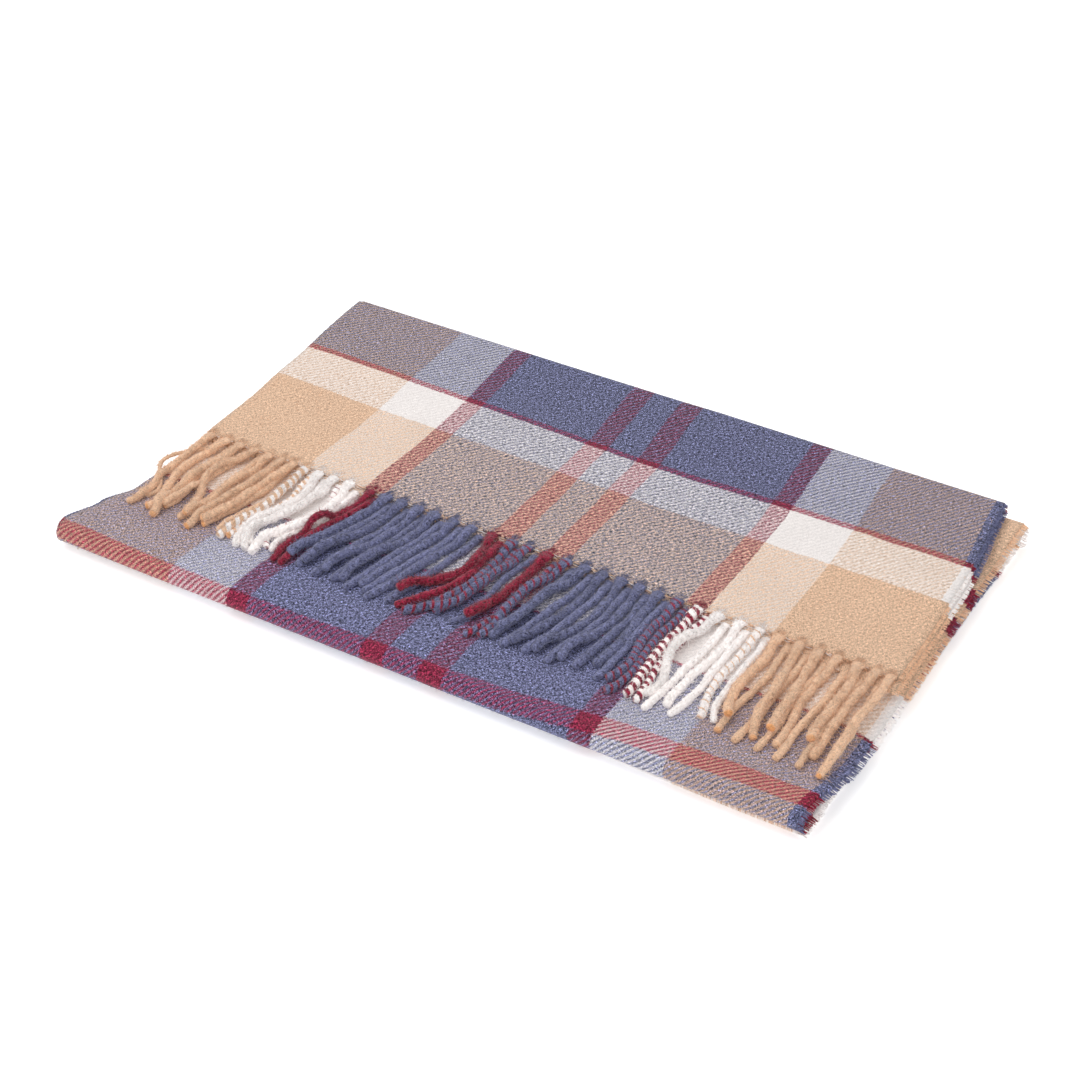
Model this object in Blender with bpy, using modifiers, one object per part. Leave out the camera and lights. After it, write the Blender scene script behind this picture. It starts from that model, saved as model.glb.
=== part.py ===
"""A tartan blanket scarf of brushed wool twill, folded flat in a stack and resting on its side.

The cloth is one rectangle. Its two fringed ends lie on top, one on the other, and turn down at
the back. The stretch under them shows in front of the fringe: it rolls down at the front fold,
and at the back it turns round the hidden layers into the stretch that lies on the table.

Lengths are metres, +Z is up, X runs across the cloth's width and Y from the front to the back.
The origin is the middle of the bounding box, on the table.
"""
import math

import bmesh
import bpy

# ---- driving dimensions -------------------------------------------------------------------
CLOTH = 0.0016            # thickness of the brushed twill
GAP = 0.0003              # clearance between pieces that lie on each other
HIDDEN_LAYERS = 4         # layers of cloth folded inside the stack

CLOTH_WIDTH = 0.328       # selvedge to selvedge, measured on the upper end
TOP_DEPTH = 0.124         # fringe line to the back fold, on the upper end
LOWER_END_STEP = 0.0065   # the lower end reaches this far in front of the upper one
FRONT_REACH = 0.0837      # fringe line to the foremost point of the front fold
LEFT_REACH = 0.0177       # the front fold's left corner sticks out this far
RIGHT_REACH = 0.0060      # the lower layers stick out this far on the right
FRINGE_LENGTH = 0.062     # reach of the twisted strands, laid flat
FRINGE_THICK = 0.0024     # mean thickness of one row of strands
TURN_UNDER = 0.062        # length of the upper end that turns back under itself
EDGE_DROOP = 0.0042       # the right selvedge of the middle stretch hangs this far down

LAYER = CLOTH + GAP       # height that one layer takes in the stack
CORE_TOP = LAYER + HIDDEN_LAYERS * LAYER - GAP
MIDDLE_TOP = CORE_TOP + LAYER
END_LOW = MIDDLE_TOP + GAP            # underside of whatever lies on the middle stretch
TOP_HEIGHT = MIDDLE_TOP + 3 * LAYER   # top of the stack at the back fold

CENTRE_X = (CLOTH_WIDTH + RIGHT_REACH - LEFT_REACH) / 2
CENTRE_Y = (TOP_DEPTH - FRONT_REACH) / 2

FRONT_RADIUS = (MIDDLE_TOP - LAYER) / 2      # front fold, outside
BACK_RADIUS = MIDDLE_TOP / 2                 # back loop of the lower layers, outside
END_RADIUS = (TOP_HEIGHT - END_LOW) / 2      # back fold of the upper end, outside

# Outlines seen from above: the cloth drifts sideways by a few millimetres as it lies.
# Each row: distance behind the fringe line, x of the left selvedge, x of the right selvedge.
UPPER_END_OUTLINE = [
    (0.000, 0.0000, 0.3255),
    (0.020, -0.0004, 0.3275),
    (0.047, -0.0005, 0.3290),
    (0.076, 0.0010, 0.3280),
    (0.100, -0.0005, 0.3265),
    (0.124, -0.0020, 0.3250),
]
MIDDLE_OUTLINE = [
    (-0.0837, -0.0165, 0.3250),
    (-0.0760, -0.0177, 0.3252),
    (-0.0580, -0.0130, 0.3290),
    (-0.0430, -0.0055, 0.3315),
    (-0.0200, -0.0015, 0.3325),
    (0.0400, 0.0000, 0.3320),
    (0.0800, 0.0000, 0.3340),
    (0.1240, 0.0005, 0.3330),
]
BASE_OUTLINE = [
    (-0.0820, -0.0080, 0.3255),
    (-0.0400, -0.0010, 0.3290),
    (0.0400, 0.0020, 0.3300),
    (0.1240, 0.0020, 0.3335),
]


# ---- small helpers --------------------------------------------------------------------------
def smooth(low, high, value):
    """Soft step from 0 at low to 1 at high."""
    t = min(1.0, max(0.0, (value - low) / (high - low)))
    return t * t * (3 - 2 * t)


def spread(low, high, steps):
    """steps + 1 even values from low to high."""
    return [low + (high - low) * i / steps for i in range(steps + 1)]


def outline_at(outline, y, column):
    """Selvedge position at y, eased between the rows of an outline table."""
    if y <= outline[0][0]:
        return outline[0][column]
    for near, far in zip(outline, outline[1:]):
        if y <= far[0]:
            share = (y - near[0]) / (far[0] - near[0])
            share = share * share * (3 - 2 * share)
            return near[column] + (far[column] - near[column]) * share
    return outline[-1][column]


def arc(centre_y, centre_z, radius, start, end, steps):
    """Points of a turn in the YZ plane; angles in degrees, 0 towards +Y and 90 straight up."""
    turn = [math.radians(a) for a in spread(start, end, steps)]
    return [(centre_y + radius * math.cos(a), centre_z + radius * math.sin(a)) for a in turn]


def straight(start, end, steps):
    """Points of a straight run, without its first one."""
    ys = spread(start[0], end[0], steps)[1:]
    zs = spread(start[1], end[1], steps)[1:]
    return list(zip(ys, zs))


def clear_scene():
    for item in list(bpy.data.objects):
        bpy.data.objects.remove(item, do_unlink=True)
    for group in list(bpy.data.collections):
        bpy.data.collections.remove(group)


def wool(name, colour):
    """Brushed wool: matt, with no metal in it."""
    material = bpy.data.materials.new(name)
    material.use_nodes = True
    shader = material.node_tree.nodes["Principled BSDF"]
    shader.inputs["Base Color"].default_value = (*colour, 1.0)
    shader.inputs["Roughness"].default_value = 0.95
    shader.inputs["Metallic"].default_value = 0.0
    return material


def add_object(collection, name, mesh_builder, material):
    """Turn a bmesh into a named object whose frame is the part's own."""
    for vertex in mesh_builder.verts:
        vertex.co.x -= CENTRE_X
        vertex.co.y -= CENTRE_Y
    mesh = bpy.data.meshes.new(name)
    mesh_builder.to_mesh(mesh)
    mesh_builder.free()
    mesh.materials.append(material)
    mesh.shade_smooth()
    mesh.set_sharp_from_angle(angle=math.radians(40))
    item = bpy.data.objects.new(name, mesh)
    collection.objects.link(item)
    return item


def add_wall(collection, name, rows, material, thickness=CLOTH):
    """Cloth wall: rows of points on its outer face, thickened inwards by Solidify."""
    builder = bmesh.new()
    grid = [[builder.verts.new(point) for point in row] for row in rows]
    for near, far in zip(grid, grid[1:]):
        for i in range(len(near) - 1):
            builder.faces.new((near[i], near[i + 1], far[i + 1], far[i]))
    item = add_object(collection, name, builder, material)
    wall = item.modifiers.new("cloth thickness", "SOLIDIFY")
    wall.thickness = thickness
    wall.offset = -1.0
    wall.use_even_offset = True
    return item


def rows_across(path, outline, columns, lower=None):
    """Sweep a YZ path across the width, between the two selvedges of an outline table."""
    rows = []
    for y, z in path:
        left = outline_at(outline, y, 1)
        right = outline_at(outline, y, 2)
        row = []
        for share in columns:
            x = left + (right - left) * share
            drop = lower(x, y, right) if lower else 0.0
            row.append((x, y, z - drop))
        rows.append(row)
    return rows


# ---- the stretches of the scarf -----------------------------------------------------------
def end_slope(y):
    """Height that an end panel gains where it climbs over the turned-under cloth."""
    return LAYER * smooth(0.030, 0.057, y)


def add_upper_end(collection, material):
    """Upper fringed end: flat panel, back fold, and the stretch that turns back under it."""
    flat_z = END_LOW + CLOTH + LAYER
    fold_y = TOP_DEPTH - END_RADIUS
    fold_z = END_LOW + END_RADIUS
    ys = spread(0.0, 0.028, 2) + spread(0.032, 0.056, 4) + spread(0.066, fold_y, 4)
    top = [(y, flat_z + end_slope(y)) for y in ys]
    fold = arc(fold_y, fold_z, END_RADIUS, 90, -90, 8)[1:]
    under = straight(fold[-1], (TOP_DEPTH - TURN_UNDER, END_LOW), 4)
    rows = rows_across(top + fold + under, UPPER_END_OUTLINE, spread(0.0, 1.0, 16))
    return add_wall(collection, "upper_end_panel", rows, material)


def add_lower_end(collection, material):
    """Lower fringed end: lies under the upper one, a little further forward."""
    flat_z = END_LOW + CLOTH
    back_y = TOP_DEPTH - END_RADIUS
    ys = spread(-LOWER_END_STEP, 0.028, 3) + spread(0.032, 0.056, 4) + spread(0.066, back_y, 4)
    path = [(y, flat_z + end_slope(y)) for y in ys]
    rows = rows_across(path, UPPER_END_OUTLINE, spread(0.004, 1.003, 16))
    return add_wall(collection, "lower_end_panel", rows, material)


def selvedge_droop(x, y, right):
    """How far the middle stretch hangs down near its right selvedge, between the folds."""
    near_edge = smooth(right - 0.014, right, x)
    between_folds = smooth(-0.070, -0.045, y) * (1 - smooth(0.085, 0.110, y))
    return EDGE_DROOP * near_edge * between_folds


def add_middle(collection, material):
    """Middle stretch: front fold, the face that shows before the fringe, and the back loop."""
    front_y = FRONT_RADIUS - FRONT_REACH
    front_z = LAYER + FRONT_RADIUS
    back_y = TOP_DEPTH - BACK_RADIUS
    tuck = [(front_y + 0.003, LAYER)]
    front = arc(front_y, front_z, FRONT_RADIUS, 270, 90, 12)
    top = straight(front[-1], (back_y, MIDDLE_TOP), 12)
    back = arc(back_y, BACK_RADIUS, BACK_RADIUS, 90, -88, 12)[1:]
    columns = spread(0.0, 0.94, 12) + [0.96, 0.98, 1.0]
    rows = rows_across(tuck + front + top + back, MIDDLE_OUTLINE, columns, selvedge_droop)
    return add_wall(collection, "middle_panel", rows, material)


def add_base(collection, material):
    """Base stretch: lies flat on the table under the whole stack."""
    back_y = TOP_DEPTH - BACK_RADIUS - GAP
    front_left = -0.0765
    front_right = -0.0825
    rows = []
    for share_back in spread(0.0, 1.0, 8):
        row = []
        for share in spread(0.0, 1.0, 12):
            front_y = front_left + (front_right - front_left) * share
            y = front_y + (back_y - front_y) * share_back
            left = outline_at(BASE_OUTLINE, y, 1)
            right = outline_at(BASE_OUTLINE, y, 2)
            row.append((left + (right - left) * share, y, CLOTH))
        rows.append(row)
    return add_wall(collection, "base_panel", rows, material)


def rounded_ring(x0, x1, y0, y1, inset, corner, z, steps=4):
    """Rounded rectangle at height z, drawn in from its full size by inset."""
    corners = [(x1, y1, 0), (x0, y1, 90), (x0, y0, 180), (x1, y0, 270)]
    ring = []
    for x, y, start in corners:
        cx = x - math.copysign(corner, x - (x0 + x1) / 2)
        cy = y - math.copysign(corner, y - (y0 + y1) / 2)
        for a in spread(start, start + 90, steps):
            reach = corner - inset
            ring.append((cx + reach * math.cos(math.radians(a)),
                         cy + reach * math.sin(math.radians(a)), z))
    return ring


def add_hidden_layers(collection, material):
    """The folded cloth inside the stack: one solid, with a rounded edge for each layer."""
    x0, x1 = 0.006, 0.317
    y0 = 2 * FRONT_RADIUS - FRONT_REACH - 0.001
    y1 = TOP_DEPTH - 2 * BACK_RADIUS + 0.002
    corner = 0.006
    groove = 0.0025
    edge = [(0.0, 0.7), (0.2, 0.2), (0.5, 0.0), (0.8, 0.2), (1.0, 0.7)]
    rings = []
    for layer in range(HIDDEN_LAYERS):
        low = LAYER * (layer + 1)
        drift = 0.0011 * (layer % 2)
        for share, inset in edge:
            ring_inset = drift + inset * CLOTH / 2
            rings.append(rounded_ring(x0, x1, y0, y1, ring_inset, corner, low + share * CLOTH))
        if layer < HIDDEN_LAYERS - 1:
            for z in (low + CLOTH + 0.00005, low + LAYER - 0.00005):
                rings.append(rounded_ring(x0, x1, y0, y1, groove, corner, z))
    builder = bmesh.new()
    loops = [[builder.verts.new(point) for point in ring] for ring in rings]
    for near, far in zip(loops, loops[1:]):
        for i in range(len(near)):
            j = (i + 1) % len(near)
            builder.faces.new((near[i], near[j], far[j], far[i]))
    builder.faces.new(list(reversed(loops[0])))
    builder.faces.new(loops[-1])
    return add_object(collection, "hidden_layers", builder, material)


def fringe_rows(root_y, tip_y, heights, drift):
    """Rows of a row of strands laid flat: they lean to the left as they run to their tips."""
    rows = []
    for share_out, z in heights:
        row = []
        for share in spread(0.0, 1.0, 16):
            left = -0.001 + 2 * drift * share_out * (1 - share_out) - 0.005 * share_out
            right = 0.3235 - 0.004 * share_out
            uneven = 0.0022 * math.sin(9.0 * share + 1.0) * share_out
            y = root_y + (tip_y - root_y) * share_out + uneven
            row.append((left + (right - left) * share, y, z))
        rows.append(row)
    return list(reversed(rows))


def add_fringes(collection, upper_material, lower_material):
    """Two rows of twisted strands, each a plain slab of its reach."""
    lower_top = END_LOW + FRINGE_THICK
    lower_root = -LOWER_END_STEP - GAP
    heights = [(share, lower_top) for share in spread(0.0, 1.0, 6)]
    rows = fringe_rows(lower_root, lower_root - FRINGE_LENGTH + 0.004, heights, -0.006)
    add_wall(collection, "lower_fringe", rows, lower_material, FRINGE_THICK)
    root_top = END_LOW + LAYER + FRINGE_THICK
    upper_top = lower_top + GAP + FRINGE_THICK
    heights = [(share, root_top + (upper_top - root_top) * smooth(0.02, 0.1, share))
               for share in (0.0, 0.05, 0.1, 0.25, 0.4, 0.6, 0.8, 1.0)]
    rows = fringe_rows(-GAP, -GAP - FRINGE_LENGTH, heights, -0.012)
    add_wall(collection, "upper_fringe", rows, upper_material, FRINGE_THICK)


def main():
    clear_scene()
    scarf = bpy.data.collections.new("tartan_blanket_scarf")
    bpy.context.scene.collection.children.link(scarf)
    camel = wool("camel wool", (0.71, 0.46, 0.24))
    denim = wool("denim blue wool", (0.10, 0.13, 0.28))
    add_base(scarf, wool("camel wool, base", (0.62, 0.40, 0.21)))
    add_hidden_layers(scarf, wool("taupe wool, hidden", (0.36, 0.28, 0.24)))
    add_middle(scarf, denim)
    add_lower_end(scarf, camel)
    add_upper_end(scarf, wool("camel wool, upper end", (0.74, 0.50, 0.28)))
    add_fringes(scarf, wool("blue fringe wool", (0.08, 0.10, 0.22)),
                wool("cream fringe wool", (0.80, 0.76, 0.72)))


main()
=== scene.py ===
# %% [markdown]
# # A folded tartan blanket scarf
# The scarf is one rectangle of brushed wool twill with twisted tassels at both short ends. It is
# folded in a stack: the two fringed ends lie on top, and the stretch under them rolls down at the
# front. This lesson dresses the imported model: thin cloth shells replace its plain walls, then come
# the tassels, the loose selvedge ends and the soft nap.

# %% Load the frame
import math

import bpy
import numpy as np
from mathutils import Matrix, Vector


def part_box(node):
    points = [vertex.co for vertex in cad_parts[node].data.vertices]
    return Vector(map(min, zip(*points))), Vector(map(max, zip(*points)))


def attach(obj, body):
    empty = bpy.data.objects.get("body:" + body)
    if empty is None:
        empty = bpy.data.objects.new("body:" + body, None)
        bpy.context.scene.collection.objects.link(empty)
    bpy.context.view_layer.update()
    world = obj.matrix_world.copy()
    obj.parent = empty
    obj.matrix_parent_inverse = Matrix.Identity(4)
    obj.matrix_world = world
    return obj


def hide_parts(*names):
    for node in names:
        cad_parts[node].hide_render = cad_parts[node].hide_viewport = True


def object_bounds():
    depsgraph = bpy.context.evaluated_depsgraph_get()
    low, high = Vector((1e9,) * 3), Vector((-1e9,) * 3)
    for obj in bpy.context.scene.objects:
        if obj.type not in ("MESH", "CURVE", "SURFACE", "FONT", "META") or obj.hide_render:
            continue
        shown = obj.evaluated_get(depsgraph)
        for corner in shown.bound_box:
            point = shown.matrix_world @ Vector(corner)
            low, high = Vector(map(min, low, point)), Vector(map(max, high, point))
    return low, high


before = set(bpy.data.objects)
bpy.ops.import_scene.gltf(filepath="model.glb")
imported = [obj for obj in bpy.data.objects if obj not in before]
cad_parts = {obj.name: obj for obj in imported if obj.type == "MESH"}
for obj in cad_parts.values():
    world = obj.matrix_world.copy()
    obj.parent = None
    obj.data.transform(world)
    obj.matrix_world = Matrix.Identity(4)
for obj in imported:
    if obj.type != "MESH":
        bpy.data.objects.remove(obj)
cad_box = [list(corner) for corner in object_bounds()]
bpy.ops.object.select_all(action="DESELECT")
print("CAD box", [[round(v, 4) for v in corner] for corner in cad_box])

# %% [markdown]
# Every height and edge comes from the CAD nodes, so the visible cloth lies where the solids are.
# Two lines are used all through: the fringe line, where the upper end's weave stops, and the left
# selvedge. Lengths in the tables below are millimetres from those two lines, because that is how
# a weaver would note them, and `place` turns them into metres in the frame.

# %% Heights and reference lines
MM = 0.001
upper_low, upper_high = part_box("upper_end_panel")
middle_low, middle_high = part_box("middle_panel")
base_low, base_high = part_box("base_panel")

CLOTH = (base_high[2] - base_low[2]) / MM
MIDDLE_TOP = middle_high[2] / MM
END_LOW = upper_low[2] / MM
TOP = upper_high[2] / MM
LAYER = (TOP - MIDDLE_TOP) / 3
BACK = 124.0      # the back fold, behind the fringe line
FRINGE_LINE = upper_high[1] / MM - BACK
FRONT_CORNER = 17.7      # the front fold's left corner sticks out this far
LEFT_EDGE = cad_box[0][0] / MM + FRONT_CORNER
FRONT = middle_low[1] / MM - FRINGE_LINE
WIDTH = 328.0
print("cloth", round(CLOTH, 2), "layer", round(LAYER, 2), "front", round(FRONT, 1))

# %% [markdown]
# The studio comes first: a pale floor, a broad soft light and the camera. It stands to the right
# of the scarf's front edge and looks down at it with a longish lens.

# %% Camera, floor and light
CAMERA_TURN = math.radians(30.17)
CAMERA_TILT = math.radians(37.47)
CAMERA_AWAY = 0.902
LENS = 71.72
LOOK_AT = (-0.0034, 0.0019, 0.0)
SOFTBOX_PLACE = (-0.5, -0.1, 1.3)
SOFTBOX_SIZE = 1.1
SOFTBOX_WATTS = 7.0
ROOM_LIGHT = 0.765
WHITE = (1.0, 1.0, 1.0, 1.0)


def add_camera():
    """The camera, turned so that it looks straight at LOOK_AT."""
    data = bpy.data.cameras.new("studio_camera")
    data.sensor_width = 36.0
    data.lens = LENS
    data.clip_start = 0.02
    camera = bpy.data.objects.new("studio_camera", data)
    bpy.context.collection.objects.link(camera)
    flat = math.cos(CAMERA_TILT) * CAMERA_AWAY
    camera.location = (
        LOOK_AT[0] + math.sin(CAMERA_TURN) * flat,
        LOOK_AT[1] - math.cos(CAMERA_TURN) * flat,
        LOOK_AT[2] + math.sin(CAMERA_TILT) * CAMERA_AWAY,
    )
    camera.rotation_euler = (math.pi / 2 - CAMERA_TILT, 0.0, CAMERA_TURN)
    bpy.context.scene.camera = camera
    return camera


def add_soft_light(name, place, aim, size, power):
    """A square area light that faces its aim."""
    data = bpy.data.lights.new(name, "AREA")
    data.size = size
    data.energy = power
    lamp = bpy.data.objects.new(name, data)
    bpy.context.collection.objects.link(lamp)
    lamp.location = place
    turn = [a - b for a, b in zip(aim, place)]
    tilt = math.atan2(math.hypot(turn[0], turn[1]), -turn[2])
    lamp.rotation_euler = (tilt, 0.0, math.atan2(turn[1], turn[0]) - math.pi / 2)
    return lamp


camera = add_camera()
add_soft_light("overhead softbox", SOFTBOX_PLACE, (0.0, 0.0, 0.0), SOFTBOX_SIZE, SOFTBOX_WATTS)
world = bpy.data.worlds.new("studio")
world.use_nodes = True
world.node_tree.nodes["Background"].inputs["Color"].default_value = WHITE
world.node_tree.nodes["Background"].inputs["Strength"].default_value = ROOM_LIGHT
bpy.context.scene.world = world
bpy.context.scene.view_settings.view_transform = "Standard"

bpy.ops.mesh.primitive_plane_add(size=6.0, location=(0.0, 0.0, -0.0002))
floor = bpy.context.object
floor.name = "studio_floor"
print("camera at", [round(v, 3) for v in camera.location])

# %% [markdown]
# Materials are written as expressions. `Wire` wraps one output socket, so that adding or
# multiplying two wires adds the Math node.

# %% Expressions for shader nodes
class Wire:
    """An output socket that can be used in sums; numbers on either side are fine."""

    def __init__(self, maker, socket):
        self.maker = maker
        self.socket = socket

    def math(self, operation, first, second=None):
        """Add a Math node; returns its result."""
        values = [first] if second is None else [first, second]
        return self.maker.node("ShaderNodeMath", {"operation": operation}, values)

    def __add__(self, other):
        return self.math("ADD", self, other)

    def __sub__(self, other):
        return self.math("SUBTRACT", self, other)

    def __rsub__(self, other):
        return self.math("SUBTRACT", other, self)

    def __mul__(self, other):
        return self.math("MULTIPLY", self, other)

    def __truediv__(self, other):
        return self.math("DIVIDE", self, other)

    __radd__ = __add__
    __rmul__ = __mul__


print("wires can be added, subtracted, multiplied and divided")

# %% [markdown]
# A `Maker` holds one material. Its `node` adds any node, and the helpers below it add what wool
# needs: centred noise, streaks of combed fibre, mixed colours, and the final wiring of the shader.

# %% One material's maker
class Maker:
    """Builds one material's nodes."""

    def __init__(self, name):
        self.material = bpy.data.materials.new(name)
        self.material.use_nodes = True
        self.tree = self.material.node_tree
        self.shader = self.tree.nodes["Principled BSDF"]

    def feed(self, socket, value):
        """Link a wire to a socket, or set the socket's value."""
        if isinstance(value, Wire):
            self.tree.links.new(value.socket, socket)
        else:
            socket.default_value = value

    def node(self, kind, settings, values, output=0):
        """Add a node: settings first, then its inputs by place or name; returns one output."""
        node = self.tree.nodes.new(kind)
        for key, value in settings.items():
            if key == "stops":
                self.set_stops(node.color_ramp, value)
            else:
                setattr(node, key, value)
        pairs = values.items() if isinstance(values, dict) else enumerate(values)
        for key, value in pairs:
            self.feed(node.inputs[key], value)
        return Wire(self, node.outputs[output])

    def set_stops(self, ramp, stops):
        """Give a ramp hard-edged stops, each a position and a colour."""
        ramp.interpolation = "CONSTANT"
        while len(ramp.elements) < len(stops):
            ramp.elements.new(1.0)
        for element, (position, colour) in zip(ramp.elements, stops):
            element.position = position
            element.color = colour

    def noise(self, where, scale, detail=2.0, rough=0.5):
        """Noise centred on 0, about -0.5 to 0.5."""
        values = {"Vector": where, "Scale": scale, "Detail": detail, "Roughness": rough}
        return self.node("ShaderNodeTexNoise", {}, values) - 0.5

    def streaks(self, across, along, angle, fine, long):
        """Noise drawn out along one direction, like combed hairs; fine and long are in millimetres."""
        c, s = math.cos(math.radians(angle)), math.sin(math.radians(angle))
        lengthwise = (across * c + along * s) * (1.0 / (long * MM))
        crosswise = (along * c - across * s) * (1.0 / (fine * MM))
        where = self.node("ShaderNodeCombineXYZ", {}, [lengthwise, crosswise, float(angle)])
        return self.noise(where, 1.0, 1.0, 0.5)

    def mix(self, share, first, second, blend="MIX"):
        """Colours mixed; share 0 gives the first."""
        settings = {"data_type": "RGBA", "blend_type": blend}
        return self.node("ShaderNodeMix", settings, {0: share, 6: first, 7: second}, 2)

    def finish(self, colour, height, depth, roughness, sheen):
        """Wire colour and bump to the shader, and set its constants."""
        bump = self.node("ShaderNodeBump", {}, {"Height": height, "Distance": depth})
        self.feed(self.shader.inputs["Base Color"], colour)
        self.feed(self.shader.inputs["Normal"], bump)
        self.feed(self.shader.inputs["Roughness"], roughness)
        self.shader.inputs["Specular IOR Level"].default_value = 0.15
        self.shader.inputs["Sheen Weight"].default_value = sheen
        self.shader.inputs["Sheen Roughness"].default_value = 0.45
        return self.material


print("makers start from", Maker.__name__)

# %% [markdown]
# The floor is plain matt paper, a little uneven so that it isn't a flat fill. It glows a little,
# which keeps the ground white and the scarf's shadow soft.

# %% Floor finish
FLOOR_GLOW = 0.42
paper = Maker("pale studio paper")
paper_place = paper.node("ShaderNodeTexCoord", {}, {}, "Object")
paper_tone = paper.noise(paper_place, 30.0) * 0.01 + 0.92
floor_colour = paper.node("ShaderNodeCombineColor", {}, [paper_tone, paper_tone, paper_tone])
floor.data.materials.append(paper.finish(floor_colour, paper_tone, 0.0001, 0.9, 0.0))
paper.shader.inputs["Emission Color"].default_value = WHITE
paper.shader.inputs["Emission Strength"].default_value = FLOOR_GLOW
print("floor finish", paper.material.name)

# %% [markdown]
# ## Yarns
# Four yarns make the whole check: camel, white, a heathered denim blue and burgundy. The tone is
# written as it looks on a screen, and the fourth number says how heathered the yarn is, which the
# cloth material uses for its flecks.

# %% Yarn tones
TONES = {
    "camel": (0.865, 0.715, 0.595, 0.25),
    "white": (0.925, 0.900, 0.890, 0.08),
    "denim": (0.395, 0.405, 0.525, 1.00),
    "burgundy": (0.505, 0.150, 0.225, 0.80),
}


def linear(tone):
    """A screen tone as the linear colour that mesh attributes hold."""
    return tuple(channel ** 2.2 for channel in tone[:3])


print("yarns", sorted(TONES))


# %% [markdown]
# The check itself is two lists. Across the cloth the warp runs in stripes that mirror about a
# narrow blue one; along it the weft repeats a longer list. Each visible stretch starts its weft
# list where the real fold puts it, measured from the fringe line.

# %% Warp and weft stripes
WARP = [
    (0.0, "camel"), (54.0, "white"), (84.0, "burgundy"), (92.5, "denim"), (146.0, "burgundy"),
    (157.0, "denim"), (171.0, "burgundy"), (181.5, "denim"), (235.5, "burgundy"),
    (244.5, "white"), (273.5, "camel"),
]
WARP_EDGES = [start for start, tone in WARP] + [WIDTH]
WEFT_UPPER = [
    (-20.0, "camel"), (48.5, "white"), (72.9, "burgundy"), (76.3, "denim"), (124.5, "burgundy"),
    (135.5, "denim"), (149.5, "burgundy"), (160.5, "denim"), (207.5, "burgundy"), (212.0, "white"),
]
WEFT_MIDDLE = [
    (-220.0, "camel"), (-174.0, "white"), (-145.0, "burgundy"), (-141.0, "denim"),
    (-111.5, "burgundy"), (-100.5, "denim"), (-86.5, "burgundy"), (-76.0, "denim"),
    (-33.2, "burgundy"), (-30.8, "white"), (-2.0, "camel"), (42.0, "burgundy"), (52.0, "camel"),
    (61.5, "burgundy"), (72.0, "camel"), (124.0, "white"), (150.0, "burgundy"), (154.0, "denim"),
]
WEFT_BASE = [
    (-120.0, "white"), (-30.0, "burgundy"), (-26.0, "denim"),
    (22.0, "burgundy"), (33.0, "denim"), (94.0, "burgundy"), (98.0, "white"), (116.0, "camel"),
]
REPEAT = [
    # the weft's whole repeat: yarn and stripe width
    ("denim", 47.0), ("burgundy", 11.0), ("denim", 14.0), ("burgundy", 11.0), ("denim", 47.0),
    ("burgundy", 4.0), ("white", 30.0), ("camel", 50.0), ("burgundy", 11.0), ("camel", 10.0),
    ("burgundy", 11.0), ("camel", 50.0), ("white", 30.0), ("burgundy", 4.0),
]


def repeated(start, end):
    """Stripes of the repeat, over and over, from start until end, with none before zero."""
    stripes = []
    while start < end:
        for yarn, wide in REPEAT:
            stripes.append((max(start, 0.0), yarn))
            start += wide
    return [stripe for stripe in stripes if stripe[0] < end]


WEFT_HIDDEN = repeated(-17.0, 710.0)


def yarn_at(stripes, position):
    """Name of the yarn at a place along a stripe list."""
    name = stripes[0][1]
    for start, yarn in stripes:
        if position >= start:
            name = yarn
    return name


def ramp_stops(stripes):
    """The stripe list as stops of a colour ramp, with the span that it covers."""
    first = stripes[0][0]
    span = stripes[-1][0] + 60.0 - first
    return first, span, [((start - first) / span, TONES[yarn]) for start, yarn in stripes]


print("warp stripes", len(WARP), "upper weft stripes", len(WEFT_UPPER), "hidden", len(WEFT_HIDDEN))

# %% [markdown]
# ## The cloth's finish
# A two-and-two twill shows both yarns everywhere, in fine slanting lines: four warp ends to a
# line, so the lines are about 2.6 mm apart. Brushing then raises a nap that hides most of the
# weave. So the material looks up the warp and the weft yarn from the cloth's own UV map, which is
# in metres, and mixes them by a slanting wave that fine noise breaks up. The weft covers a little
# more of the face than the warp. The yarns are mixed as screen tones and turned linear last. Blue
# and red fibres brushed in among the camel ones cool the camel a little.

# %% The twill material
TWILL = 0.0026       # metres between twill lines
BARE_FROM = 324.2    # past this the warp has frayed away and only weft is left
WEFT_OVER = 0.575    # share of the face that the weft covers
COMBED = (52.0, 0.34, 1.7)      # fibre streaks: angle, then width and length in millimetres
CROSSED = (-24.0, 0.32, 1.4)
STRAY = (100.0, 0.31, 1.3)


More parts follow.
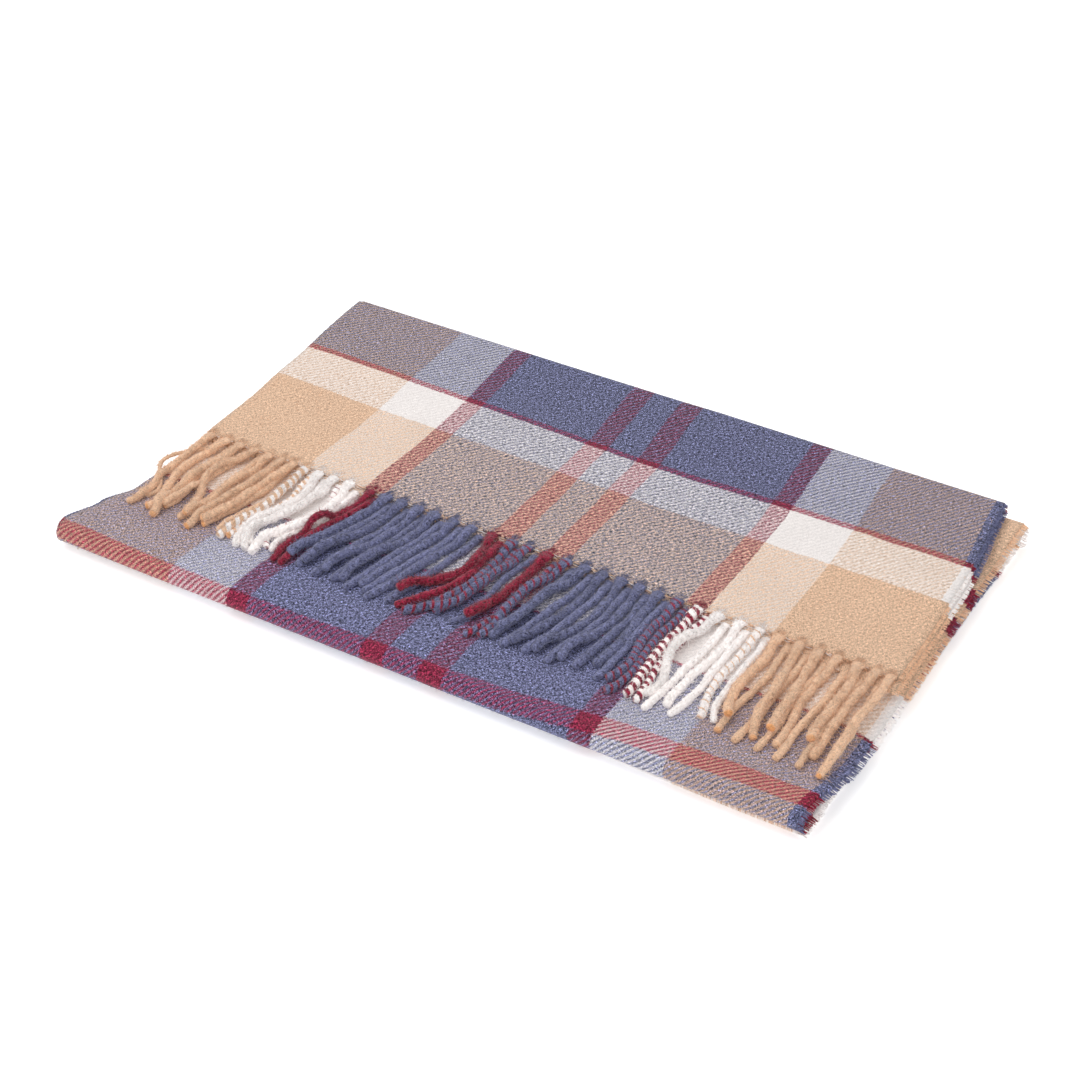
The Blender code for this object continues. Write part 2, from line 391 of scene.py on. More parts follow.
def twill_cloth(name, weft, rubbed_before=-500.0, feather=1.8, painted_shade=0.16, rubbed_after=900.0):
    """Brushed twill: warp stripes across, this stretch's weft stripes along.

    Where the cloth rolls, before rubbed_before and after rubbed_after in millimetres, the nap is
    rubbed down and the twill lines show clearly. feather, in millimetres, is how far the nap
    draws a stripe's edge; painted_shade darkens the heathered yarns: painted shade, more on the
    stretches that get less light."""
    wool = Maker(name)
    cloth_place = wool.node("ShaderNodeUVMap", {"uv_map": "cloth"}, {})
    split = wool.node("ShaderNodeSeparateXYZ", {}, [cloth_place])
    across = split
    along = Wire(wool, split.socket.node.outputs[1])
    wander = wool.noise(cloth_place, 60.0) * 0.0012
    fray = wool.noise(cloth_place, 900.0, 2.0, 0.6)
    speck = wool.noise(cloth_place, 2200.0, 1.0, 0.5)
    patch = wool.noise(cloth_place, 140.0, 3.0, 0.6)
    combed = wool.streaks(across, along, *COMBED)
    crossed = wool.streaks(across, along, *CROSSED)
    stray = wool.streaks(across, along, *STRAY)
    end_at = across + wander + fray * 0.0009 + crossed * (feather * 0.7 * MM)
    pick_at = along - wander + fray * 0.0011 + combed * (feather * MM)
    warp_first, warp_span, warp_stops = ramp_stops(WARP)
    weft_first, weft_span, weft_stops = ramp_stops(weft)
    warp_share = (end_at - warp_first * MM) / (warp_span * MM)
    weft_share = (pick_at - weft_first * MM) / (weft_span * MM)
    warp_tone = wool.node("ShaderNodeValToRGB", {"stops": warp_stops}, [warp_share])
    weft_tone = wool.node("ShaderNodeValToRGB", {"stops": weft_stops}, [weft_share])
    warp_heather = Wire(wool, warp_tone.socket.node.outputs["Alpha"])
    weft_heather = Wire(wool, weft_tone.socket.node.outputs["Alpha"])

    line_at = (across - along * 0.85 - wander * 1.5 + fray * 0.0008) * (2 * math.pi / TWILL)
    line = line_at.math("SINE", line_at)
    rubbed_front = wool.node("ShaderNodeClamp", {}, [(rubbed_before * MM - along) * 160.0])
    rubbed_back = wool.node("ShaderNodeClamp", {}, [(along - rubbed_after * MM) * 60.0])
    rubbed = rubbed_front + rubbed_back * 0.75
    napped = 1.0 - rubbed * 0.45
    nap = (speck * 1.7 + combed * 1.4 + crossed * 1.2) * napped
    woven = line * (0.17 + rubbed * 0.14) + rubbed_back * 0.06
    raw_face = WEFT_OVER - rubbed * 0.05 + woven + nap + patch * 0.16
    bare = wool.node("ShaderNodeClamp", {}, [(across - BARE_FROM * MM) * 1500.0 + fray * 2.0])
    threads = wool.streaks(across, along, 0.0, 0.55, 9.0)
    face = wool.node("ShaderNodeClamp", {}, [raw_face + bare * 2.0])
    tone = wool.mix(face, warp_tone, weft_tone)

    heather = warp_heather * (1.0 - face) + weft_heather * face
    cloud = wool.noise(cloth_place, 35.0, 3.0, 0.6)
    fleck = combed * 1.3 + crossed * 1.3 + stray * 1.2 - speck * 1.3
    # painted shade: the heathered yarns are darkened by a set amount for each stretch, where less
    # light reaches the cloth
    worked = fleck * 1.9 - painted_shade + bare * threads * 1.6
    light = 1.015 + worked * heather + line * (heather * 0.05 + 0.012) + cloud * 0.06
    grey = wool.node("ShaderNodeCombineColor", {}, [light, light, light])
    screen = wool.mix(1.0, tone, grey, "MULTIPLY")
    cool = warp_heather * (weft_heather - 0.08) * (1.0 - weft_heather)
    brushed_in = wool.node("ShaderNodeCombineColor", {}, [0.0, cool * 0.20, cool * 0.36])
    cooler = wool.mix(1.0, screen, brushed_in, "ADD")
    colour = wool.node("ShaderNodeGamma", {}, [cooler, 2.2])

    height = line * 0.5 + speck * 0.7 + combed * 1.0 + crossed * 0.8 + bare * threads * 4.0
    roughness = 0.92 + cloud * 0.1
    return wool.finish(colour, height, 0.00007, roughness, 0.25)


# painted shade per stretch: most on the two ends, less on the middle, none on the base and hidden
# layers
cloth_finish = {
    "upper": twill_cloth("brushed twill, upper end", WEFT_UPPER, rubbed_after=70.0),
    "lower": twill_cloth("brushed twill, lower end", WEFT_UPPER),
    "middle": twill_cloth("brushed twill, middle", WEFT_MIDDLE, -74.0, 3.6, 0.06),
    "base": twill_cloth("brushed twill, base", WEFT_BASE, painted_shade=0.0),
    "hidden": twill_cloth("brushed twill, hidden layers", WEFT_HIDDEN, painted_shade=0.0),
}
print("cloth finishes", sorted(cloth_finish))

# %% [markdown]
# ## How the cloth lies
# Each stretch is a path in the YZ plane, swept across the width. Where the warp lies from left to
# right differs a little with depth, so each stretch has a small table of where its stripe edges
# lie at a few depths, and the columns follow it. That puts every stripe where the real one runs.
# Each row is a depth behind the fringe line, then the x of each stripe edge in WARP_EDGES.

# %% Lays of the warp, in millimetres from the left selvedge
UPPER_LAY = [
    (0.0, (-0.3, 51.9, 81.9, 91.0, 144.3, 156.0, 169.9, 180.2, 233.9, 242.8, 271.8, 324.0)),
    (64.0, (0.4, 55.7, 86.0, 94.2, 147.3, 157.7, 172.2, 182.6, 236.5, 245.0, 273.4, 324.5)),
    (124.0, (-2.2, 54.4, 82.9, 91.2, 144.7, 155.6, 168.8, 179.4, 233.4, 242.4, 270.9, 320.0)),
]
LOWER_LAY = [
    (-6.5, (1.0, 53.0, 83.0, 92.0, 145.5, 157.0, 171.0, 181.5, 235.0, 244.5, 273.5, 325.2)),
    (64.0, (1.6, 56.0, 86.5, 95.0, 148.0, 158.5, 173.0, 183.5, 237.5, 246.0, 275.0, 326.4)),
    (124.0, (0.2, 55.0, 84.0, 92.5, 146.0, 157.0, 170.0, 181.0, 235.0, 244.0, 272.0, 321.2)),
]
MIDDLE_LAY = [
    (-84.0, (-16.0, 41.5, 70.4, 80.0, 134.2, 145.2, 160.3, 171.5, 227.4, 236.7, 267.5, 320.8)),
    (-76.0, (-17.4, 41.2, 70.2, 79.8, 134.3, 145.2, 160.5, 171.6, 227.5, 236.8, 267.6, 321.8)),
    (-60.0, (-11.0, 42.0, 70.9, 80.3, 134.8, 145.6, 160.9, 171.9, 227.8, 237.1, 268.1, 325.0)),
    (-43.0, (-4.4, 46.5, 75.0, 84.0, 138.5, 149.5, 164.3, 175.3, 230.6, 239.8, 270.2, 326.8)),
    (-20.0, (-1.2, 50.5, 80.0, 89.0, 143.0, 154.0, 168.5, 179.3, 234.0, 243.0, 272.3, 327.5)),
    (70.0, (-0.2, 52.5, 82.4, 91.1, 144.8, 155.8, 170.0, 180.6, 234.9, 243.9, 273.0, 327.6)),
    (124.0, (0.3, 54.0, 84.0, 92.5, 146.0, 157.0, 171.0, 181.5, 235.5, 244.5, 273.5, 329.6)),
]
BASE_LAY = [
    (-84.0, (-8.0, 48.0, 78.0, 86.5, 140.5, 152.0, 166.0, 177.0, 231.0, 240.5, 269.5, 322.0)),
    (40.0, (2.0, 55.0, 85.0, 93.5, 147.0, 158.0, 172.0, 182.5, 236.5, 245.5, 274.5, 325.5)),
    (124.0, (2.0, 55.5, 85.5, 94.0, 147.5, 158.5, 172.5, 183.0, 237.0, 246.0, 275.5, 328.5)),
]
HIDDEN_LAY = [
    (0.0, (6.5, 58.0, 88.0, 96.0, 148.0, 158.5, 172.0, 182.0, 234.0, 242.5, 270.0, 316.5)),
]


def ease(low, high, value):
    """Soft step from 0 at low to 1 at high."""
    t = np.clip((np.asarray(value, float) - low) / (high - low), 0.0, 1.0)
    return t * t * (3 - 2 * t)


def unit(vectors):
    """Vectors at length 1."""
    return vectors / (np.linalg.norm(vectors, axis=-1, keepdims=True) + 1e-9)


def lay_across(lay, across, depth):
    """x of a warp end, across from the left selvedge, at this depth."""
    depth = np.asarray(depth, float)
    result = np.interp(across, WARP_EDGES, lay[0][1]) + 0.0 * depth
    for near, far in zip(lay, lay[1:]):
        x_near = np.interp(across, WARP_EDGES, near[1])
        x_far = np.interp(across, WARP_EDGES, far[1])
        share = ease(near[0], far[0], depth)
        result = np.where(depth > near[0], x_near + (x_far - x_near) * share, result)
    return result


print("front fold's left corner at", MIDDLE_LAY[1][1][0], "mm")

# %% [markdown]
# A folded blanket is never quite flat. A few long, soft swells and troughs are listed, as
# lines with a width and a height. They move every layer together, and by less the lower it lies,
# so that layers stay clear of each other and the underside stays flat on the table.

# %% Soft swells shared by all layers
SWELLS = [
    # x0, y0, x1, y1, half width, height: all millimetres
    (-10.0, 96.0, 120.0, 60.0, 22.0, 0.7),
    (60.0, 20.0, 175.0, 46.0, 16.0, 0.55),
    (190.0, 112.0, 300.0, 92.0, 15.0, 0.6),
    (200.0, 60.0, 330.0, 30.0, 18.0, -0.7),
    (20.0, 28.0, 70.0, 60.0, 14.0, -0.5),
    (110.0, 100.0, 190.0, 80.0, 16.0, -0.55),
    (-20.0, -58.0, 60.0, -72.0, 9.0, 0.8),
    (90.0, -74.0, 170.0, -66.0, 10.0, 0.9),
    (210.0, -62.0, 300.0, -74.0, 11.0, 0.7),
    (40.0, -60.0, 110.0, -52.0, 9.0, -0.6),
    (170.0, -76.0, 220.0, -58.0, 9.0, -0.8),
    (270.0, -50.0, 330.0, -60.0, 10.0, -0.5),
]


def swell_at(x, y):
    """Height of the swells at a place, for the top of the stack."""
    total = np.zeros(np.broadcast(x, y).shape)
    for x0, y0, x1, y1, half, height in SWELLS:
        length = math.hypot(x1 - x0, y1 - y0)
        ux = (x1 - x0) / length
        uy = (y1 - y0) / length
        run = np.clip((x - x0) * ux + (y - y0) * uy, 0.0, length)
        gap = np.hypot(x - x0 - run * ux, y - y0 - run * uy)
        total = total + height * np.exp(-((gap / half) ** 2))
    return total


def place(points):
    """Millimetre points from the reference lines, settled on the swells, as metres in the frame."""
    points = np.array(points, float)
    lift = swell_at(points[:, 0], points[:, 1]) * np.clip(points[:, 2] / TOP, 0.0, 1.1)
    points[:, 2] = points[:, 2] + lift
    points[:, 0] = points[:, 0] + LEFT_EDGE
    points[:, 1] = points[:, 1] + FRINGE_LINE
    return points * MM


print("swell range", round(float(swell_at(np.linspace(0, 330, 50), 50.0).max()), 2))

# %% [markdown]
# Sheets are mesh code: rows of points on the outer face, a UV map in true cloth metres, and
# Solidify for the thickness, applied. The same helper makes every stretch.

# %% Meshes from arrays
def add_mesh(name, points, faces, finish):
    """A smooth mesh object at the origin from frame points."""
    mesh = bpy.data.meshes.new(name)
    mesh.from_pydata(points.tolist(), [], faces)
    mesh.materials.append(finish)
    mesh.shade_smooth()
    item = bpy.data.objects.new(name, mesh)
    bpy.context.collection.objects.link(item)
    return item


def add_shell(name, grid, chart, finish, thickness=CLOTH):
    """Closed cloth from a grid of outer points; chart holds each point's place on the cloth."""
    rows, columns = grid.shape[:2]
    index = np.arange(rows * columns).reshape(rows, columns)
    faces = np.stack([index[:-1, :-1], index[:-1, 1:], index[1:, 1:], index[1:, :-1]], -1)
    faces = faces.reshape(-1, 4)
    item = add_mesh(name, place(grid.reshape(-1, 3)), faces.tolist(), finish)
    layer = item.data.uv_layers.new(name="cloth")
    flat_chart = chart.reshape(-1, 2) * MM
    layer.data.foreach_set("uv", flat_chart[faces.reshape(-1)].ravel())
    wall = item.modifiers.new("thickness", "SOLIDIFY")
    wall.thickness = thickness * MM
    wall.offset = -1.0
    wall.use_even_offset = True
    bpy.context.view_layer.objects.active = item
    bpy.ops.object.modifier_apply(modifier=wall.name)
    return item


def arc(centre_y, centre_z, radius, start, end, step):
    """Points of a turn; angles in degrees, 0 towards the back and 90 straight up."""
    count = max(2, int(math.radians(abs(end - start)) * radius / step))
    turn = np.radians(np.linspace(start, end, count + 1))
    return [(centre_y + radius * math.cos(a), centre_z + radius * math.sin(a)) for a in turn]


def run_of(start, end, step):
    """Points of a straight run, without its first one."""
    count = max(1, int(math.dist(start, end) / step))
    ys = np.linspace(start[0], end[0], count + 1)[1:]
    zs = np.linspace(start[1], end[1], count + 1)[1:]
    return list(zip(ys.tolist(), zs.tolist()))


def lengths_along(path):
    """Distance along a path from its first point."""
    steps = np.linalg.norm(np.diff(path, axis=0), axis=1)
    return np.concatenate([[0.0], np.cumsum(steps)])


def path_normal(path):
    """At each point of a path, the way that lies to the right of its run."""
    tangent = unit(np.gradient(path, axis=0))
    return np.stack([tangent[:, 1], -tangent[:, 0]], -1)


def sweep(path, columns, lay):
    """A path carried across the width: the warp's place in each column, and x, y and z grids."""
    across = np.linspace(0.0, WIDTH, columns)
    x = lay_across(lay, across[None, :], path[:, :1])
    y = np.repeat(path[:, :1], columns, 1)
    z = np.repeat(path[:, 1:], columns, 1)
    return across, x, y, z


def chart_of(across, along):
    """Each grid point's place on the flat cloth."""
    return np.stack(np.broadcast_arrays(across[None, :], along), -1)


print("helpers ready, wall", round(CLOTH, 2), "mm")


# %% [markdown]
# ## Upper end
# The fringed end on top: a flat panel that climbs a little over the cloth turned under it, a round
# fold at the back, and the turned-under stretch. Its weft lines bow forward in the middle by a
# couple of millimetres, because brushed cloth never lies square.

# %% Upper end cloth
CELL = 2.4
COLUMNS = int(WIDTH / CELL) + 1
END_RADIUS = (TOP - END_LOW) / 2
TURN_UNDER = 62.0


def climb(y):
    """Height gained where an end panel passes over the turned-under cloth."""
    return LAYER * ease(30.0, 57.0, y)


def end_bow(across, y):
    """How far the end panels' weft lines sit from square."""
    bow = np.interp(across, [0.0, 60.0, 164.0, 270.0, 328.0], [-2.4, -0.6, 1.7, 0.4, 0.0])
    return bow * ease(4.0, 45.0, y)


def edge_sag(x, left, right, amount, reach=9.0):
    """Brushed selvedges thin out and hang a little."""
    return amount * (ease(right - reach, right, x) + 0.5 * ease(left + reach, left - 0.01, x))


def make_end_cloth(name, finish, lay, path, start_y, sag, shift=None):
    """An end panel: its grid, and where each point lies on the cloth."""
    path = np.array(path)
    run = lengths_along(path) + start_y
    across, x, y, z = sweep(path, COLUMNS, lay)
    x = x + 2.6 * ease(BACK - 4.5, BACK, y) * ease(14.0, 0.0, across)[None, :]
    if shift is not None:
        y = y + shift(x) * (1.0 - ease(y[0, 0], 24.0, y))
    top_face = (run < BACK - END_RADIUS)[:, None]
    drop = edge_sag(x, x[:, :1], x[:, -1:], sag)
    z = z - np.where(top_face, drop, 0.0)
    ripple = 0.12 * np.sin(x / 7.1 + y / 9.0) * np.sin(y / 6.3 - x / 13.0)
    z = z + np.where(top_face, ripple, 0.0)
    along = run[:, None] + end_bow(across[None, :], run[:, None])
    return add_shell(name, np.stack([x, y, z], -1), chart_of(across, along), finish)


def upper_path():
    """Fringe line, back fold and the turned-under stretch, outer face."""
    flat_z = END_LOW + CLOTH + LAYER
    fold_y = BACK - END_RADIUS
    ys = np.arange(0.0, fold_y, CELL)
    top = [(float(y), float(flat_z + climb(y))) for y in ys]
    fold = arc(fold_y, END_LOW + END_RADIUS, END_RADIUS, 90, -90, 1.0)
    return top + fold + run_of(fold[-1], (BACK - TURN_UNDER, END_LOW), CELL)


upper_cloth = make_end_cloth("upper_end_cloth", cloth_finish["upper"], UPPER_LAY, upper_path(),
                             0.0, 0.25)
print("upper end faces", len(upper_cloth.data.polygons))

# %% [markdown]
# ## Lower end
# The other fringed end, just under the first and a few millimetres further forward. Its right
# selvedge peeps out beyond the upper one, so the two read as separate cloths.

# %% Lower end cloth
LOWER_STEP = 6.5
LOWER_START = 4.2 - LOWER_STEP      # where the lower end's weft list starts


def lower_shift(x):
    """The lower fringe line hides under the upper one, and comes forward only at the right."""
    return 4.5 * (1.0 - ease(268.0, 318.0, x))


def lower_path():
    """Its fringe line to where it meets the back fold, outer face."""
    ys = np.arange(-LOWER_STEP, BACK - END_RADIUS, CELL)
    return [(float(y), float(END_LOW + CLOTH + climb(y))) for y in ys]


lower_cloth = make_end_cloth("lower_end_cloth", cloth_finish["lower"], LOWER_LAY, lower_path(),
                             LOWER_START, 0.3, lower_shift)
print("lower end faces", len(lower_cloth.data.polygons))

# %% [markdown]
# ## Middle stretch
# This cloth carries the front roll and the face that the tassels lie on, and at the back it loops
# down to the table. Its left corner swings out at the front, and its right selvedge hangs over the
# layers below. Toward the front its weft lines bow, so the wide burgundy stripe meets the roll at
# a slight angle.

# %% Middle cloth
FRONT_RADIUS = (MIDDLE_TOP - LAYER) / 2
BACK_RADIUS = MIDDLE_TOP / 2


MIDDLE_BOW = (
    # places across, and how far the weft lines sit from square there
    (0.0, 15.0, 45.0, 90.0, 120.0, 153.0, 180.0, 205.0, 230.0, 252.0, 280.0, 300.0, 328.0),
    (0.6, 1.4, 2.8, 3.7, 3.2, 1.9, 1.4, 0.4, -2.4, -5.0, -6.2, -7.4, -8.2),
)


def middle_bow(across, run):
    """How far the middle's weft lines sit from square, near the front."""
    bow = np.interp(across, MIDDLE_BOW[0], MIDDLE_BOW[1])
    return bow * np.clip((-30.0 - run) / 46.0, 0.0, 1.25)


def middle_path():
    """Tuck, front roll, top face and back loop, outer face."""
    front_y = FRONT + FRONT_RADIUS
    back_y = BACK - BACK_RADIUS
    front = arc(front_y, LAYER + FRONT_RADIUS, FRONT_RADIUS, 270, 90, 0.9)
    tuck = [(front_y + 7.0, LAYER), (front_y + 5.0, LAYER), (front_y + 3.0, LAYER),
            (front_y + 1.5, LAYER)]
    top = run_of(front[-1], (back_y, MIDDLE_TOP), CELL)
    back = arc(back_y, BACK_RADIUS, BACK_RADIUS, 90, -88, 1.1)[1:]
    return tuck + front + top + back


def middle_along(path):
    """Distance along the middle cloth, equal to y where its top face begins."""
    run = lengths_along(path)
    crest = int(np.argmax(path[:, 1] >= MIDDLE_TOP - 0.001))
    return run - run[crest] + path[crest, 0]


def hang_share(y):
    """How freely the right edge hangs at a depth; the two folds hold it."""
    return ease(-70.0, -45.0, y) * (1 - ease(85.0, 112.0, y))


def make_middle_cloth():
    """The middle stretch, with its hanging right edge and soft left corner."""
    path = np.array(middle_path())
    run = middle_along(path)
    across, x, y, z = sweep(path, COLUMNS, MIDDLE_LAY)
    hang = 4.0 * ease(x[:, -1:] - 15.0, x[:, -1:] + 1.0, x) * hang_share(y)
    upper_side = z > MIDDLE_TOP - 1.0
    z = z - np.where(upper_side, hang, 0.0)
    left_soft = ease(x[:, :1] + 8.0, x[:, :1] - 0.01, x) * ease(-30.0, -60.0, y)
    z = z - np.where(upper_side, 0.8 * left_soft, 0.0)
    ripple = 0.15 * np.sin(x / 8.3 + y / 7.0) * np.sin(y / 5.7 - x / 15.0)
    z = z + np.where(upper_side, ripple, 0.0)
    along = run[:, None] + middle_bow(across[None, :], run[:, None])
    grid = np.stack([x, y, z], -1)
    return add_shell("middle_cloth", grid, chart_of(across, along), cloth_finish["middle"])


middle_cloth = make_middle_cloth()
print("middle faces", len(middle_cloth.data.polygons))

# %% [markdown]
# ## Base
# The base stretch lies flat on the table. Its front edge hides under the front roll, and it is
# drawn in a little at the left, so that it never peeps out there.

# %% Base cloth
def make_base_cloth():
    """The stretch on the table, flat, with a slightly wavy front edge."""
    across = np.linspace(0.0, WIDTH, 111)
    shares = np.linspace(0.0, 1.0, 60)
    back_y = BACK - BACK_RADIUS - 0.3
    front_y = np.interp(across, [0.0, WIDTH], [-76.5, -80.8]) + 0.4 * np.sin(across / 17.0)
    y = front_y[None, :] + (back_y - front_y[None, :]) * shares[:, None]
    x = lay_across(BASE_LAY, across[None, :] + 0.0 * y, y)
    z = np.full_like(x, CLOTH)
    grid = np.stack([x, y, z], -1)
    return add_shell("base_cloth", grid, chart_of(across, y), cloth_finish["base"])


base_cloth = make_base_cloth()
print("base faces", len(base_cloth.data.polygons))

# %% [markdown]
# ## Hidden layers
# Between the base and the middle stretch the scarf goes back and forth four times. Nobody sees
# those layers but at the edges, so they are one long cloth that turns round at the front and the
# back like a ribbon, a little narrower than the rest.

# %% Hidden layers
HIDDEN_LEVELS = 4
HIDDEN_WALL = CLOTH * 0.92      # a little thinner, so that the layers keep clear


def hidden_path():
    """Back and forth through four levels, outer face first on the lowest."""
    front_y = FRONT + 2 * FRONT_RADIUS + 0.3
    back_y = BACK - 2 * BACK_RADIUS - 0.4
    turn = LAYER / 2
    first_z = LAYER + CLOTH / 2
    path = [(back_y, first_z)]
    for level in range(HIDDEN_LEVELS):
        z = first_z + LAYER * level
        near, far = (back_y, front_y) if level % 2 == 0 else (front_y, back_y)
        path += run_of((near, z), (far, z), 4.0)
        if level < HIDDEN_LEVELS - 1:
            below = 270.0 if level % 2 == 0 else -90.0
            path += arc(far, z + turn, turn, below, 90.0, 0.5)[1:]
    return path


def make_hidden_cloth():
    """The ribbon of hidden layers; every second one is a little narrower."""
    path = np.array(hidden_path())
    outward = path_normal(path)
    level = np.clip(np.round((path[:, 1] - LAYER - CLOTH / 2) / LAYER), 0, HIDDEN_LEVELS - 1)
    across, x, y, z = sweep(path - outward * (HIDDEN_WALL / 2), 42, HIDDEN_LAY)
    narrower = np.where(level % 2 == 1, 1.1 / 160.0, 0.0)[:, None]
    x = WIDTH / 2 + (x - WIDTH / 2) * (1.0 - narrower)
    chart = chart_of(across, lengths_along(path)[:, None])
    grid = np.stack([x, y, z], -1)
    return add_shell("hidden_cloth", grid, chart, cloth_finish["hidden"], HIDDEN_WALL)


hidden_cloth = make_hidden_cloth()
print("hidden faces", len(hidden_cloth.data.polygons))

# %% [markdown]
# ## Yarn finish
# The tassels, the loose ends and the nap share one finish. Each vertex carries its own yarn
# colour in an attribute named `yarn`, and fine noise on Object coordinates adds the heather. Light
# goes right through loose wool from hair to hair, which a solid tube can't do, so a little of the
# yarn's own colour is given back as glow. That glow is painted light: the yarns emit, though they
# are no lamp, and every yarn is also drawn a little lighter, painted light against the shade that
# the close-set tubes cast on each other.

# %% The yarn material
# strength of the painted light: the yarns give off their own colour as emission
GLOW = 0.16


def brushed_yarn():
    """The one finish of tassels, loose ends and nap."""
    wool = Maker("brushed yarn")
    spot = wool.node("ShaderNodeTexCoord", {}, {}, "Object")
    split = wool.node("ShaderNodeSeparateXYZ", {}, [spot])
    back = Wire(wool, split.socket.node.outputs[1])
    up = Wire(wool, split.socket.node.outputs[2])
    colour = wool.node("ShaderNodeAttribute", {"attribute_name": "yarn"}, {}, "Color")
    heather = Wire(wool, colour.socket.node.outputs["Alpha"])
    lengthwise = wool.streaks(split + up * 0.8, back, 78.0, 0.40, 1.9)
    slanted = wool.streaks(split - up * 0.9, back, 40.0, 0.38, 1.5)
    fleck = wool.noise(spot, 1900.0, 1.0, 0.6)
    cloud = wool.noise(spot, 160.0, 2.0, 0.5)
    hairs = lengthwise * 1.4 + slanted * 1.3 + fleck * 1.3
    # the base of 1.08 lifts every yarn a little: painted light against the shade between close-set
    # tubes
    light = 1.08 + hairs * (heather * 1.9 + 0.50) + cloud * 0.2
    grey = wool.node("ShaderNodeCombineColor", {}, [light, light, light])
    tinted = wool.mix(1.0, colour, grey, "MULTIPLY")
    # painted light: the yarn's colour given off as emission
    wool.feed(wool.shader.inputs["Emission Color"], tinted)
    wool.shader.inputs["Emission Strength"].default_value = GLOW
    return wool.finish(tinted, hairs, 0.00022, 0.92 + cloud * 0.1, 0.35)


yarn_finish = brushed_yarn()
print("yarn finish", yarn_finish.name)


def paint(item, colours):
    """Store a linear colour and a heather amount per vertex, which the yarn finish reads."""
    layer = item.data.color_attributes.new("yarn", "FLOAT_COLOR", "POINT")
    full = np.ones((len(colours), 4))
    full[:, :3] = colours
    full[:, 3] = np.clip(1.0 - colours.mean(1) * 2.2, 0.08, 1.0)
    layer.data.foreach_set("color", full.ravel())


# %% [markdown]
# ## Tassels
# At both ends the warp threads are gathered eight millimetres at a time and twisted into two-ply
# strands. Each strand is a row of a table: where it leaves the cloth, how far it has wandered
# sideways at about one third, two thirds and its tip, how far it reaches, its radius, and its
# yarns. Where a tassel falls on a stripe edge its two plies differ, and it looks like a barber's
# pole; where only a few threads differ it shows short dashes.

# %% Tassel yarns and tables
MIXES = {
    # code: first yarn, second yarn, share of the second
    "c": ("camel", "camel", 0.0),
    "w": ("white", "white", 0.0),
    "b": ("denim", "denim", 0.0),
    "r": ("burgundy", "burgundy", 0.0),
    "cw": ("camel", "white", 0.5),
    "wc": ("white", "camel", 0.12),
    "wr": ("white", "burgundy", 0.12),
    "br": ("denim", "burgundy", 0.3),
    "rb": ("burgundy", "denim", 0.4),
    "rw": ("burgundy", "white", 0.5),
}
UPPER_TASSELS = [
    (2.3, -2.3, -0.8, -2.8, 56.0, 1.6, "c"), (10.5, -5.0, -2.7, -1.8, 55.0, 1.8, "c"),
    (17.7, -2.7, -4.7, -3.2, 58.5, 1.9, "c"), (25.5, -6.0, -2.5, -0.5, 54.0, 1.6, "c"),
    (33.2, -1.6, -3.1, -5.6, 53.0, 1.7, "c"), (39.8, -1.4, -4.5, -8.6, 57.5, 1.7, "c"),
    (45.8, -2.5, -4.5, -10.0, 52.0, 1.8, "c"), (52.5, 0.5, -1.0, -5.5, 56.0, 1.7, "cw"),
    (59.5, 1.5, -3.5, -2.5, 57.0, 1.8, "w"), (67.0, -0.2, -7.0, -5.5, 57.0, 1.8, "w"),
    (75.0, 2.6, -4.5, -10.0, 58.0, 1.9, "w"), (86.0, -4.3, -10.3, -10.5, 57.0, 1.5, "r"),
    (93.6, -3.6, -9.5, -13.0, 52.0, 1.9, "b"), (101.4, -2.8, -9.0, -13.5, 53.0, 1.8, "b"),
    (109.6, -1.5, -7.5, -11.0, 53.0, 1.8, "b"), (117.6, -1.8, -7.5, -11.0, 54.0, 1.8, "b"),
    (127.0, -3.0, -7.5, -11.2, 53.0, 1.8, "b"), (135.8, -3.5, -8.5, -13.8, 59.0, 1.7, "b"),
    (145.6, 3.0, -3.5, -14.4, 50.0, 1.9, "r"), (155.2, 0.3, -2.2, -16.3, 58.5, 1.7, "br"),
    (162.4, -2.4, -5.0, -13.5, 53.0, 1.6, "br"), (171.8, -1.8, -4.0, -9.1, 50.0, 2.0, "r"),
    (180.6, -3.6, -5.8, -7.0, 56.5, 1.6, "br"), (189.0, -3.7, -7.0, -10.5, 50.0, 1.7, "b"),
    (197.2, -0.8, -4.5, -11.5, 54.5, 1.7, "b"), (205.6, 1.0, -3.0, -9.8, 53.5, 1.7, "b"),
    (213.9, 0.3, -3.5, -7.3, 52.6, 1.7, "b"), (222.3, -0.2, 0.2, -2.3, 48.5, 1.8, "b"),
    (231.0, -1.7, -0.3, -3.2, 53.5, 1.7, "br"), (240.0, -1.6, -1.6, -1.7, 58.5, 1.9, "rw"),
    (248.8, -5.4, -4.2, -3.7, 55.0, 1.8, "w"), (258.0, -0.2, -3.0, -3.4, 56.0, 1.7, "w"),
    (266.6, -1.2, -1.5, 1.4, 55.0, 1.6, "wc"), (274.6, -0.3, -1.5, 3.0, 50.6, 1.9, "c"),
    (283.5, 2.0, 3.0, 6.5, 55.6, 1.8, "c"), (291.5, 0.8, 2.0, 2.6, 50.0, 1.9, "c"),
    (299.3, -1.6, -1.2, -0.8, 55.0, 1.7, "c"), (307.8, 1.8, 1.0, 1.8, 48.0, 2.0, "c"),
    (315.2, -1.5, -2.0, -2.1, 54.0, 1.8, "c"), (321.0, -0.7, -1.2, -1.8, 62.0, 1.6, "c"),
]
